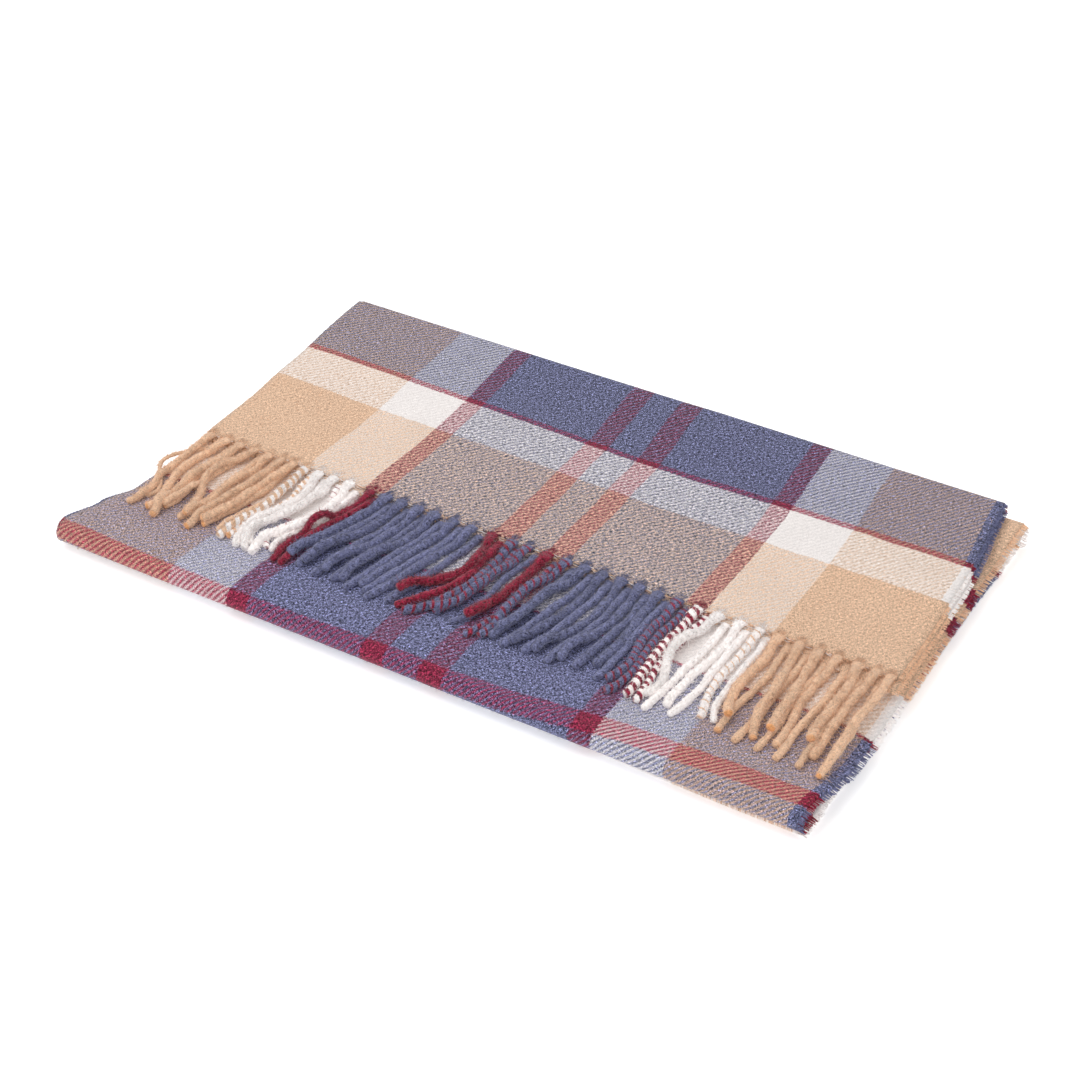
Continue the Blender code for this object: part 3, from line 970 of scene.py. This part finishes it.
LOWER_TASSELS = [
    (7.3, -12.0, -8.0, -5.5, 42.0, 0.95, "c"), (14.4, -1.0, 1.5, 1.0, 44.0, 1.5, "c"),
    (21.5, -1.5, -3.5, -6.0, 45.0, 1.5, "c"), (29.5, 0.0, -1.0, -3.0, 42.0, 1.4, "c"),
    (37.0, 1.0, -1.0, -5.0, 44.0, 1.5, "c"), (44.5, 0.5, -2.5, -8.0, 46.0, 1.5, "c"),
    (50.5, 1.0, -2.5, -6.0, 46.0, 1.6, "c"), (56.5, 1.5, -2.0, -6.5, 47.0, 1.5, "cw"),
    (63.5, 1.5, -4.5, -1.5, 46.0, 1.5, "w"), (71.0, 3.5, -3.0, -2.3, 45.0, 1.5, "wr"),
    (79.0, -0.5, -5.5, -8.0, 46.0, 1.4, "w"), (88.5, -4.5, -9.0, -9.2, 51.0, 1.6, "r"),
    (97.5, -3.0, -8.0, -11.0, 48.0, 1.7, "b"), (105.5, -2.0, -7.0, -10.0, 50.0, 1.6, "b"),
    (113.6, -1.5, -6.0, -9.5, 49.0, 1.6, "b"), (122.0, -2.5, -7.0, -10.5, 51.0, 1.6, "b"),
    (131.2, -2.5, -7.5, -12.0, 49.0, 1.6, "b"), (140.4, -2.0, -6.0, -10.0, 50.0, 1.5, "b"),
    (149.8, 0.5, -3.5, -15.3, 50.5, 1.8, "r"), (158.6, 0.0, -3.0, -8.5, 46.0, 1.5, "br"),
    (167.0, -3.5, -3.0, -8.2, 48.0, 1.3, "b"), (176.6, -1.2, -3.5, -8.5, 52.5, 1.6, "rb"),
    (185.0, -2.0, -5.0, -8.0, 48.0, 1.6, "b"), (193.0, -2.0, -5.5, -9.5, 50.0, 1.6, "b"),
    (201.4, -1.0, -4.0, -9.0, 49.0, 1.6, "b"), (209.8, 0.0, -3.0, -7.0, 50.0, 1.6, "b"),
    (218.0, 0.5, -1.5, -4.0, 47.0, 1.6, "b"), (226.5, -1.0, -1.0, -2.5, 49.0, 1.5, "b"),
    (235.4, -1.7, -1.0, -4.4, 53.5, 1.6, "br"), (244.4, -2.7, -2.5, -1.2, 53.0, 1.6, "rw"),
    (252.8, -0.5, -2.5, -4.8, 55.5, 1.6, "w"), (261.5, -0.3, -0.8, -3.5, 53.5, 1.6, "w"),
    (270.5, 0.0, -0.8, 3.2, 48.0, 1.5, "w"), (279.5, 0.2, -1.8, -2.8, 52.0, 1.5, "c"),
    (288.0, -0.5, -1.5, -3.4, 54.0, 1.6, "c"), (296.0, -1.0, -1.5, -2.5, 54.0, 1.5, "c"),
    (304.6, -0.6, -2.0, -2.9, 55.0, 1.6, "c"), (312.0, -1.0, -1.5, -2.0, 54.5, 1.5, "c"),
    (319.0, 0.5, 1.0, 0.5, 49.0, 1.5, "c"),
]
print("tassels", len(UPPER_TASSELS), "over", len(LOWER_TASSELS))

# %% [markdown]
# A strand's line is the smooth curve through its three wanderings. The strands are then laid one
# after another, like the real ones: each lies on the cloth, or climbs over whichever earlier
# strand it crosses. Wool gives, so strands may press into each other by a sixth.

# %% Laying the strands
rng = np.random.default_rng(41)
SAMPLES = 72
PRESS = 0.84


def strand_line(row, root_y):
    """x and y of a strand's centre, from just inside the cloth to its tip."""
    root_x, first, second, tip, reach = row[:5]
    marks = np.array([0.35, 0.68, 1.0])
    powers = np.stack([marks ** 2, marks ** 3, marks ** 4], -1)
    factors = np.linalg.solve(powers, np.array([first, second, tip]))
    t = np.linspace(-0.04, 1.0, SAMPLES)
    out = np.clip(t, 0.0, 1.0)
    x = root_x + out ** 2 * factors[0] + out ** 3 * factors[1] + out ** 4 * factors[2]
    phase = rng.uniform(0.0, 6.28, 2)
    sway = 0.28 * np.sin(out * 11.0 + phase[0]) + 0.16 * np.sin(out * 23.0 + phase[1])
    x = x + sway * ease(0.0, 0.3, out)
    y = root_y - t * reach
    return x, y


def soften(values, reach):
    """Moving average along a strand, with its ends held."""
    padded = np.pad(values, reach, mode="edge")
    kernel = np.hanning(2 * reach + 3)[1:-1]
    return np.convolve(padded, kernel / kernel.sum(), mode="valid")


def lay_row(table, root_y, root_z, bed, earlier, shift):
    """Centre lines of a row of strands; bed gives the height of the cloth under them."""
    row_lines = []
    for row in table:
        back = shift(row[0])
        x, y = strand_line(row[:4] + (row[4] + back,) + row[5:], root_y + back)
        radius = row[5]
        z = bed(y) + radius * 0.88
        for other_x, other_y, other_z, other_radius in earlier:
            gap = np.hypot(x[:, None] - other_x[None, :], y[:, None] - other_y[None, :])
            nearest = np.argmin(gap, 1)
            gap = gap[np.arange(len(x)), nearest]
            room = (radius + other_radius) * PRESS
            climb_by = np.sqrt(np.maximum(room ** 2 - gap ** 2, 0.0))
            over = other_z[nearest] + climb_by
            z = np.where(gap < room, np.maximum(z, over), z)
        z = soften(z, 4)
        share = ease(0.5, 7.5, root_y + back - y)
        z = root_z + (z - root_z) * share - 0.9 * ease(-0.2, 2.0, y - root_y - back)
        z[-8:] = z[-8:] - np.linspace(0.0, 0.25, 8)
        earlier.append((x, y, z, radius))
        row_lines.append((x, y, z))
    return row_lines


laid = []
lower_lines = lay_row(LOWER_TASSELS, -LOWER_STEP, END_LOW + CLOTH * 0.68,
                      lambda y: np.full_like(y, MIDDLE_TOP), laid, lower_shift)
laid = [(x, y, np.where(y > -14.0, END_LOW + 0.2, z), r) for x, y, z, r in laid]
upper_lines = lay_row(UPPER_TASSELS, 0.0, END_LOW + LAYER + CLOTH * 0.68,
                      lambda y: np.where(y > -LOWER_STEP - 1.0, END_LOW + CLOTH, MIDDLE_TOP), laid,
                      lambda x: 0.0)
print("highest strand", round(max(float(z.max()) for x, y, z in upper_lines), 1), "mm")

# %% [markdown]
# The tube round each line is turned as it goes, so its edges follow the plies and its slightly
# waisted section makes the ropy outline. At the root it is wide and flat, where the threads are
# still spread over the cloth; at the tip the cut fibres look more orange on the camel strands.

# %% Building the strands
LOFT = {
    # yarn: how much thicker its strands are, and how light they look next to the cloth
    "camel": (1.02, 0.88), "white": (1.03, 0.96), "denim": (1.13, 0.98), "burgundy": (1.03, 1.0),
}


def tube(line, radius, lay_length, waist, sides, segments):
    """Ring points of one strand: (segments + 1, sides, 3), and the share of its length."""
    line = np.stack(line, -1)
    run = lengths_along(line)
    at = np.linspace(0.0, run[-1], segments + 1)
    centre = np.stack([np.interp(at, run, line[:, k]) for k in range(3)], -1)
    forward = unit(np.gradient(centre, axis=0))
    side = unit(np.cross(forward, [0.0, 0.0, 1.0]))
    up = np.cross(side, forward)
    root = 1.0 - ease(2.5, 9.0, at)
    wide = radius * (1.0 + 0.42 * root)
    tall = radius * (1.0 - 0.55 * root)
    end = ease(run[-1] - 1.6, run[-1], at)
    offset = centre[0, 0]
    swell = 1.0 + 0.05 * np.sin(at * 0.83 + offset) + 0.07 * np.sin(at * 0.31 + offset * 2.3)
    swell = swell + 0.03 * np.sin(at * 1.9 + offset * 1.7)
    swell = swell * (1.0 - 0.12 * end ** 2) * 0.93
    turn = 2 * math.pi * at / lay_length + 0.6 * np.sin(at * 0.37 + offset)
    ring = 2 * math.pi * np.arange(sides) / sides
    lobe = 1.0 + waist * (1.0 - root)[:, None] * np.cos(2 * ring)[None, :]
    angle = ring[None, :] + turn[:, None]
    width = (np.cos(angle) * lobe * (wide * swell)[:, None])[..., None]
    height = (np.sin(angle) * lobe * (tall * swell)[:, None])[..., None]
    rough = rng.normal(0.0, 0.045, (len(at), sides, 3))
    rings = centre[:, None, :] + side[:, None, :] * width + up[:, None, :] * height + rough
    return rings, at / run[-1]


print("thickest strand", max(row[5] for row in UPPER_TASSELS) * 2, "mm")

# %% [markdown]
# All strands of a row are one mesh. Each ring point gets the colour of the ply it belongs to, and
# since the ring turns with the twist, the plies wind round the strand by themselves.

# %% Colouring and joining the strands
def ply_colours(yarns, sides, share, tint, ripe):
    """Linear colours of the ring points: plies, dashes, and the cut tip."""
    first, second, part = MIXES[yarns]
    first_colour = np.array(linear(TONES[first])) * tint * LOFT[first][1]
    second_colour = np.array(linear(TONES[second])) * tint * LOFT[second][1]
    around = np.arange(sides) / sides
    use_second = (around < part)[None, :, None]
    colours = np.where(use_second, second_colour, first_colour)
    colours = np.repeat(colours, len(share), 0)
    if first == "camel" or second == "camel":
        cut = np.array(linear((0.88, 0.60, 0.36)))
        tip = ease(0.982, 0.996, share)[:, None, None]
        colours = colours + (cut - colours) * tip * ripe
    return colours


def add_strands(name, table, lines, sides, step):
    """One joined mesh of a row of strands; also returns what the fuzz needs."""
    points, faces, colours, surfaces = [], [], [], []
    start = 0
    for row, line in zip(table, lines):
        reach, radius, yarns = row[4:]
        radius = radius * LOFT[MIXES[yarns][0]][0]
        two_tone = MIXES[yarns][2] > 0.0
        lay_length = rng.uniform(3.4, 4.2) if two_tone else rng.uniform(4.2, 5.6)
        waist = 0.10 if two_tone else 0.06
        segments = int(reach * 1.1 / step)
        rings, share = tube(line, radius, lay_length, waist, sides, segments)
        tint = rng.uniform(0.96, 1.14)
        ring_colours = ply_colours(yarns, sides, share, tint, rng.choice([0.1, 0.5, 0.75]))
        index = start + np.arange((segments + 1) * sides).reshape(segments + 1, sides)
        nearer, further = index[:-1], index[1:]
        quads = np.stack([nearer, np.roll(nearer, -1, 1), np.roll(further, -1, 1), further], -1)
        faces += quads.reshape(-1, 4).tolist()
        caps = np.stack([rings[0].mean(0), rings[-1].mean(0) + (rings[-1] - rings[-2]).mean(0)])
        root_cap = start + (segments + 1) * sides
        for j in range(sides):
            after = (j + 1) % sides
            faces.append((int(index[0, after]), int(index[0, j]), root_cap))
            faces.append((int(index[-1, j]), int(index[-1, after]), root_cap + 1))
        points.append(np.concatenate([rings.reshape(-1, 3), caps]))
        colours.append(np.concatenate([ring_colours.reshape(-1, 3), ring_colours[0, :1],
                                       ring_colours[-1, :1]]))
        surfaces.append((rings, ring_colours))
        start = root_cap + 2
    item = add_mesh(name, place(np.concatenate(points)), faces, yarn_finish)
    paint(item, np.concatenate(colours))
    return item, surfaces


upper_strands, upper_skins = add_strands("upper_fringe_strands", UPPER_TASSELS, upper_lines,
                                         10, 0.40)
lower_strands, lower_skins = add_strands("lower_fringe_strands", LOWER_TASSELS, lower_lines,
                                         8, 0.55)
print("strand faces", len(upper_strands.data.polygons), len(lower_strands.data.polygons))

# %% [markdown]
# ## Loose yarn ends
# The right selvedge is cut: past the last warp end the weft yarns run on for a few millimetres,
# side by side, each in its own colour. The left selvedge has tiny turns of the weft instead. Both
# are short bent tubes, many hundreds of them, joined into one mesh per stretch.

# %% Short yarns
def short_yarns(name, roots, tips, bend, thick, colours, sides=4, steps=3):
    """Joined little tubes from roots to tips, bent by `bend` in the middle, all in millimetres."""
    count = len(roots)
    t = np.linspace(0.0, 1.0, steps + 1)
    line = roots[:, None, :] + (tips - roots)[:, None, :] * t[None, :, None]
    line = line + bend[:, None, :] * (4 * t * (1 - t))[None, :, None]
    forward = unit(np.gradient(line, axis=1))
    reference = np.where(np.abs(forward[..., 2:]) > 0.85, [[[1.0, 0.0, 0.0]]], [[[0.0, 0.0, 1.0]]])
    side = unit(np.cross(forward, reference))
    up = np.cross(side, forward)
    ring = 2 * math.pi * np.arange(sides) / sides
    taper = (1.0 - 0.25 * t ** 3)[None, :, None, None]
    size = thick[:, None, None, None] * taper
    shape = side[:, :, None, :] * np.cos(ring)[None, None, :, None]
    shape = shape + up[:, :, None, :] * np.sin(ring)[None, None, :, None]
    rings = line[:, :, None, :] + shape * size
    index = np.arange(count * (steps + 1) * sides).reshape(count, steps + 1, sides)
    nearer, further = index[:, :-1], index[:, 1:]
    quads = np.stack([nearer, np.roll(nearer, -1, 2), np.roll(further, -1, 2), further], -1)
    faces = quads.reshape(-1, 4).tolist()
    faces += index[:, 0, ::-1].tolist()
    faces += index[:, -1].tolist()
    item = add_mesh(name, place(rings.reshape(-1, 3)), faces, yarn_finish)
    paint(item, np.repeat(colours, (steps + 1) * sides, 0))
    return item


def yarn_colours(names, low=0.88, high=1.1):
    """Linear colours of the named yarns, each a little lighter or darker."""
    table = np.array([linear(TONES[name]) for name in names])
    return table * rng.uniform(low, high, (len(names), 1))


def edge_of(path, run, lay, across, step, sink):
    """Points inside a selvedge at even steps, with their distance along the cloth."""
    at = np.arange(run[0], run[-1], step)
    inner = path + path_normal(path) * sink
    y = np.interp(at, run, inner[:, 0])
    z = np.interp(at, run, inner[:, 1])
    x = lay_across(lay, across, y)
    return np.stack([x, y, z], -1), at


print("one short yarn has", 3 * 4 + 2, "faces")

# %% [markdown]
# The eyelash of weft ends follows each stretch's right edge round its folds. The ends lie side by
# side, lean together in small clumps, and are a little longer on the lower stretches.

# %% Weft ends at the right selvedge
def eyelash(name, edge, at, weft, bow, length, droop, forward):
    """Weft ends past the right selvedge, lying side by side, in little clumps of three or four."""
    count = len(edge)
    wave = 0.35 * np.sin(at / 7.0) + 0.25 * np.sin(at / 2.9)
    roots = edge - [1.4, 0.0, 0.0]
    roots = roots + rng.normal(0.0, 0.05, (count, 3))
    roots[:, 2] += rng.uniform(-0.25, 0.25, count)
    reach = length * (1.0 + 0.16 * wave + rng.normal(0.0, 0.10, count))
    clump = soften(rng.normal(0.0, 1.0, count), 1)
    tips = roots.copy()
    tips[:, 0] += reach + 1.4
    tips[:, 1] += forward + 0.32 * clump + rng.normal(0.0, 0.14, count)
    tips[:, 2] -= droop * (1.0 + 0.10 * wave) + rng.normal(0.0, 0.12, count)
    tips[:, 2] = np.maximum(tips[:, 2], 0.4)
    bend = rng.normal(0.0, 0.12, (count, 3))
    names = [yarn_at(weft, float(a)) for a in at + bow]
    thick = rng.uniform(0.22, 0.28, count)
    # The weft ends are drawn a little lighter than their yarns: painted light against the shade that
    # the close-set ends cast on each other.
    return short_yarns(name, roots, tips, bend, thick, yarn_colours(names, 0.98, 1.15))


PITCH = 0.45
upper_run = np.array(upper_path())
lower_run = np.array(lower_path())
middle_run = np.array(middle_path())
base_ys = np.linspace(-81.0, BACK - BACK_RADIUS, 40)
base_run = np.stack([base_ys, np.full(40, CLOTH)], -1)
STRETCHES = {
    # name: path, distance along the cloth at its points, lay of the warp, weft stripes
    "upper": (upper_run, lengths_along(upper_run), UPPER_LAY, WEFT_UPPER),
    "lower": (lower_run, lengths_along(lower_run) + LOWER_START, LOWER_LAY, WEFT_UPPER),
    "middle": (middle_run, middle_along(middle_run), MIDDLE_LAY, WEFT_MIDDLE),
    "base": (base_run, base_ys, BASE_LAY, WEFT_BASE),
}
ENDS = {
    # name: how long the weft ends are, how far they droop, and how far they lean to the back
    "upper": (1.5, 0.25, -0.3), "lower": (1.7, 0.3, -0.3),
    "middle": (2.4, 0.6, -0.5), "base": (2.2, 0.3, -0.4),
}
eyelashes = {}
for name, (path, run, lay, weft) in STRETCHES.items():
    edge, at = edge_of(path, run, lay, WIDTH, PITCH, CLOTH * 0.45)
    bow = middle_bow(WIDTH, at) if name == "middle" else 0.0
    if name == "middle":
        edge[:, 2] -= np.where(edge[:, 2] > MIDDLE_TOP - 1.0, 3.6 * hang_share(edge[:, 1]), 0.0)
    if name == "upper":
        keep = edge[:, 1] > 0.0
        edge, at = edge[keep], at[keep]
    eyelashes[name] = eyelash(name + "_eyelash", edge, at, weft, bow, *ENDS[name])
print("weft end faces", [len(item.data.polygons) for item in eyelashes.values()])

# %% [markdown]
# The left selvedge is the woven one. Each weft thread turns back there in a loop hardly wider
# than itself, which gives the edge its fine teeth. Along the two fringe lines the last camel
# threads of the weft show as short bits between the tassels.

# %% Selvedge turns and fringe line bits
def selvedge_turns(name, path, run, lay, weft):
    """Half loops of the weft along the left selvedge."""
    edge, at = edge_of(path, run, lay, 0.0, 1.3, CLOTH / 2)
    roots = edge[:-1] + [0.3, 0.0, 0.0]
    tips = edge[1:] + [0.3, 0.0, 0.0]
    bend = np.zeros_like(roots)
    bend[:, 0] = -rng.uniform(0.75, 1.05, len(roots))
    names = [yarn_at(weft, float(a)) for a in at[:-1]]
    thick = rng.uniform(0.28, 0.36, len(roots))
    return short_yarns(name, roots, tips, bend, thick, yarn_colours(names))


def fringe_bits(name, table, root_y, z, shift):
    """Short pale camel threads between neighbouring tassels, loose and uneven."""
    starts, ends = [], []
    for near, far in zip(table, table[1:]):
        for k in range(7):
            x = near[0] + rng.uniform(1.0, 3.2)
            width = (far[0] - near[0]) - 4.2
            line_y = root_y + shift(x) - 0.10 * k
            starts.append((x, line_y + rng.uniform(-0.2, 0.9), z - 0.20 * k))
            ends.append((x + width * rng.uniform(0.4, 1.1), line_y + rng.uniform(-0.5, 0.5),
                         z - 0.20 * k + rng.uniform(-0.2, 0.2)))
    roots, tips = np.array(starts), np.array(ends)
    bend = np.zeros_like(roots)
    bend[:, 1] = rng.uniform(-0.7, 0.3, len(roots))
    thick = rng.uniform(0.11, 0.18, len(roots))
    pale = yarn_colours(rng.choice(["camel", "camel", "white"], len(roots)), 0.95, 1.2)
    return short_yarns(name, roots, tips, bend, thick, pale)


turns = {}
for name, stretch in STRETCHES.items():
    turns[name] = selvedge_turns(name + "_selvedge_turns", *stretch)
upper_bits = fringe_bits("upper_fringe_line_threads", UPPER_TASSELS, 0.0,
                         END_LOW + LAYER + CLOTH * 0.9, lambda x: 0.0)
lower_bits = fringe_bits("lower_fringe_line_threads", LOWER_TASSELS, -LOWER_STEP,
                         END_LOW + CLOTH * 0.9, lower_shift)
print("turns", len(turns["middle"].data.polygons), "bits", len(upper_bits.data.polygons))

# %% [markdown]
# ## Nap
# Brushing raises the wool's fibres, and they soften every outline. Each fibre here is a hair-thin
# three-sided spike of four triangles, in the colour of the yarn that it grows from; the longest
# ones have a bend and ten. They stand thickest on the tassels; on the cloth they lie nearly flat.

# %% Fibres
def add_fibres(name, roots, directions, lengths, thick, colours, curls=None):
    """Joined fibres, all in millimetres: bent ones where curls are given, straight ones otherwise."""
    count = len(roots)
    directions = unit(directions)
    side = unit(np.cross(directions, [0.3, 0.2, 0.93]))
    up = np.cross(side, directions)
    ring = 2 * math.pi * np.arange(3) / 3
    around = side[:, None, :] * np.cos(ring)[None, :, None]
    around = around + up[:, None, :] * np.sin(ring)[None, :, None]
    base = roots[:, None, :] + around * thick[:, None, None]
    tips = roots + directions * lengths[:, None]
    if curls is None:
        points = np.concatenate([base, tips[:, None, :]], 1)
        pattern = np.array([(0, 1, 3), (1, 2, 3), (2, 0, 3), (2, 1, 0)])
    else:
        middle = roots + directions * (lengths * 0.5)[:, None] + curls * 0.35
        waist = middle[:, None, :] + around * (thick * 0.75)[:, None, None]
        points = np.concatenate([base, waist, (tips - curls * 0.15)[:, None, :]], 1)
        pattern = np.array([(0, 1, 4), (0, 4, 3), (1, 2, 5), (1, 5, 4), (2, 0, 3), (2, 3, 5),
                            (3, 4, 6), (4, 5, 6), (5, 3, 6), (2, 1, 0)])
    corners = points.shape[1]
    start = (np.arange(count) * corners)[:, None]
    faces = (start[:, :, None] + pattern[None, :, :]).reshape(-1, 3)
    item = add_mesh(name, place(points.reshape(-1, 3)), faces.tolist(), yarn_finish)
    paint(item, np.repeat(colours, corners, 0))
    return item


print("fibres have 4 or 10 triangles")

# %% [markdown]
# Fibres stand out from the tassels at all angles, many of them leaning along the strand. The
# upper row also gets some longer, bent hairs. Their tones vary, so the strands look heathered; the
# darker fibres are painted shade between the hairs, and the paler and brighter ones are partly
# white hairs and partly painted highlight.

# %% Fuzz on the tassels
def strand_fuzz(name, skins, per_strand, low, high, curled):
    """Fibres that stand out from the strands; low and high set their lengths."""
    roots, directions, colours = [], [], []
    for rings, ring_colours in skins:
        level = rng.integers(1, len(rings) - 2, per_strand)
        spot = rng.integers(0, rings.shape[1], per_strand)
        centre = rings[level].mean(1)
        root = rings[level, spot]
        outward = unit(root - centre)
        forward = unit(rings[level + 1].mean(1) - centre)
        lean = rng.normal(0.25, 0.95, per_strand)[:, None]
        directions.append(outward * 0.5 + forward * lean + rng.normal(0.0, 0.30, outward.shape))
        roots.append(root - outward * 0.10)
        own = ring_colours[level, spot]
        # paler fibres: partly whitish hairs, partly painted highlight; shade runs from painted shade
        # on the darkest fibres to painted light above 1
        pale = (0.10 + own * 0.25) * rng.uniform(0.0, 1.0, (per_strand, 1)) ** 2
        darkest = 0.62 + 0.4 * own.mean(1)[:, None]
        shade = darkest + (1.3 - darkest) * rng.uniform(0.0, 1.0, (per_strand, 1))
        colours.append(own * shade + pale)
    roots, directions = np.concatenate(roots), np.concatenate(directions)
    count = len(roots)
    lengths = np.clip(rng.lognormal(low, 0.45, count), 0.5, high)
    curls = rng.normal(0.0, 0.7, (count, 3)) if curled else None
    thick = rng.uniform(0.07, 0.13, count)
    return add_fibres(name, roots, directions, lengths, thick, np.concatenate(colours), curls)


upper_fuzz = strand_fuzz("upper_fringe_fuzz", upper_skins, 1100, 0.25, 2.8, False)
upper_hairs = strand_fuzz("upper_fringe_hairs", upper_skins, 160, 0.80, 4.4, True)
lower_fuzz = strand_fuzz("lower_fringe_fuzz", lower_skins, 520, 0.25, 2.8, False)
print("fuzz", [len(item.data.polygons) for item in (upper_fuzz, upper_hairs, lower_fuzz)])

# %% [markdown]
# On the cloth the nap is brushed nearly flat. Only the faces that show get it: the upper end's top
# and, of the middle stretch, what lies in front of the fringe and round the front roll.

# %% Nap on the cloth
def nap_fibres(name, sheet):
    """Fibres on a cloth face; sheet holds the points, their facings, and colours."""
    roots, facing, colours = sheet
    count = len(roots)
    spin = rng.uniform(0.0, 2 * math.pi, count)
    flat = np.stack([np.cos(spin), np.sin(spin) * 0.9, np.zeros(count)], -1)
    directions = flat + facing * rng.uniform(0.06, 0.60, count)[:, None]
    lengths = rng.uniform(0.7, 2.6, count) * rng.uniform(0.6, 1.0, count)
    thick = rng.uniform(0.035, 0.065, count)
    return add_fibres(name, roots, directions, lengths, thick, colours)


def fibres_on(stretch, count, bow):
    """Random places on a stretch's outer face, with facings and colours."""
    path, run, lay, weft = STRETCHES[stretch]
    across = rng.uniform(0.0, WIDTH, count)
    at = rng.uniform(run[0], run[-1], count)
    y = np.interp(at, run, path[:, 0])
    z = np.interp(at, run, path[:, 1])
    x = lay_across(lay, across, y)
    outward = -path_normal(path)
    facing = np.stack([np.zeros(count), np.interp(at, run, outward[:, 0]),
                       np.interp(at, run, outward[:, 1])], -1)
    shift = bow(across, at)
    names = np.where(rng.random(count) < 0.6,
                     [yarn_at(weft, float(a)) for a in at + shift],
                     [yarn_at(WARP, float(a)) for a in across])
    roots = np.stack([x, y, z - 0.05], -1)
    # Nap colours vary at random and are lifted on average: painted light against the dark shading of
    # hair-thin fibres.
    return roots, facing, yarn_colours(names, 0.9, 1.35)


sheet = fibres_on("upper", 26000, end_bow)
keep = sheet[0][:, 2] > END_LOW + CLOTH + LAYER - 1.5
upper_nap = nap_fibres("upper_end_nap", [part[keep] for part in sheet])
sheet = fibres_on("middle", 52000, middle_bow)
keep = (sheet[0][:, 1] < -8.0) & (sheet[0][:, 2] > LAYER + 0.5)
middle_nap = nap_fibres("middle_nap", [part[keep] for part in sheet])
print("nap faces", len(upper_nap.data.polygons), len(middle_nap.data.polygons))

# %% [markdown]
# Where a tassel leaves the cloth its fibres creep back over the weave, so the fringe line has no
# hard edge.

# %% Tufts over the roots
def root_tufts(table, root_y, z, per_strand):
    """Fibres of the warp's own colour that creep from each tassel back over the cloth."""
    roots, directions, colours = [], [], []
    for row in table:
        yarn = np.array(linear(TONES[MIXES[row[6]][0]]))
        x = row[0] + rng.normal(0.0, 1.25, per_strand)
        y = root_y + rng.uniform(-2.2, 2.4, per_strand) - 0.35 * np.abs(x - row[0])
        heights = np.where(y > root_y, z + 0.02, z - 0.25)
        roots.append(np.stack([x, y, heights], -1))
        directions.append(np.stack([rng.normal(0.0, 0.35, per_strand), np.ones(per_strand),
                                    rng.uniform(0.0, 0.25, per_strand)], -1))
        colours.append(yarn * rng.uniform(0.85, 1.25, (per_strand, 1)))
    return np.concatenate(roots), np.concatenate(directions), np.concatenate(colours)


tuft_roots, tuft_ways, tuft_colours = root_tufts(UPPER_TASSELS, 0.0, END_LOW + LAYER + CLOTH, 130)
count = len(tuft_roots)
tufts = add_fibres("upper_root_tufts", tuft_roots, tuft_ways, rng.uniform(1.2, 3.0, count),
                   rng.uniform(0.05, 0.09, count), tuft_colours)
print("tuft faces", len(tufts.data.polygons))

# %% [markdown]
# ## Placing
# The scarf has one body, so every piece rides on it. The five cloths stand for their CAD nodes, and
# the strands stand for the fringe nodes.

# %% Body and replaced nodes
PLACES = [
    # slot, the piece that replaces a node, that node, and the other pieces that ride with it
    ("upper_end_cloth", upper_cloth, "upper_end_panel",
     [eyelashes["upper"], turns["upper"], upper_nap]),
    ("lower_end_cloth", lower_cloth, "lower_end_panel", [eyelashes["lower"], turns["lower"]]),
    ("middle_cloth", middle_cloth, "middle_panel",
     [eyelashes["middle"], turns["middle"], middle_nap]),
    ("base_cloth", base_cloth, "base_panel", [eyelashes["base"], turns["base"]]),
    ("hidden_cloth", hidden_cloth, "hidden_layers", []),
    ("upper_fringe_yarn", upper_strands, "upper_fringe",
     [upper_fuzz, upper_hairs, upper_bits, tufts]),
    ("lower_fringe_yarn", lower_strands, "lower_fringe", [lower_fuzz, lower_bits]),
]
for slot, main, node, extras in PLACES:
    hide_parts(node)
    for piece in [main] + extras:
        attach(piece, "root")
print("pieces", sum(1 + len(extras) for slot, main, node, extras in PLACES))
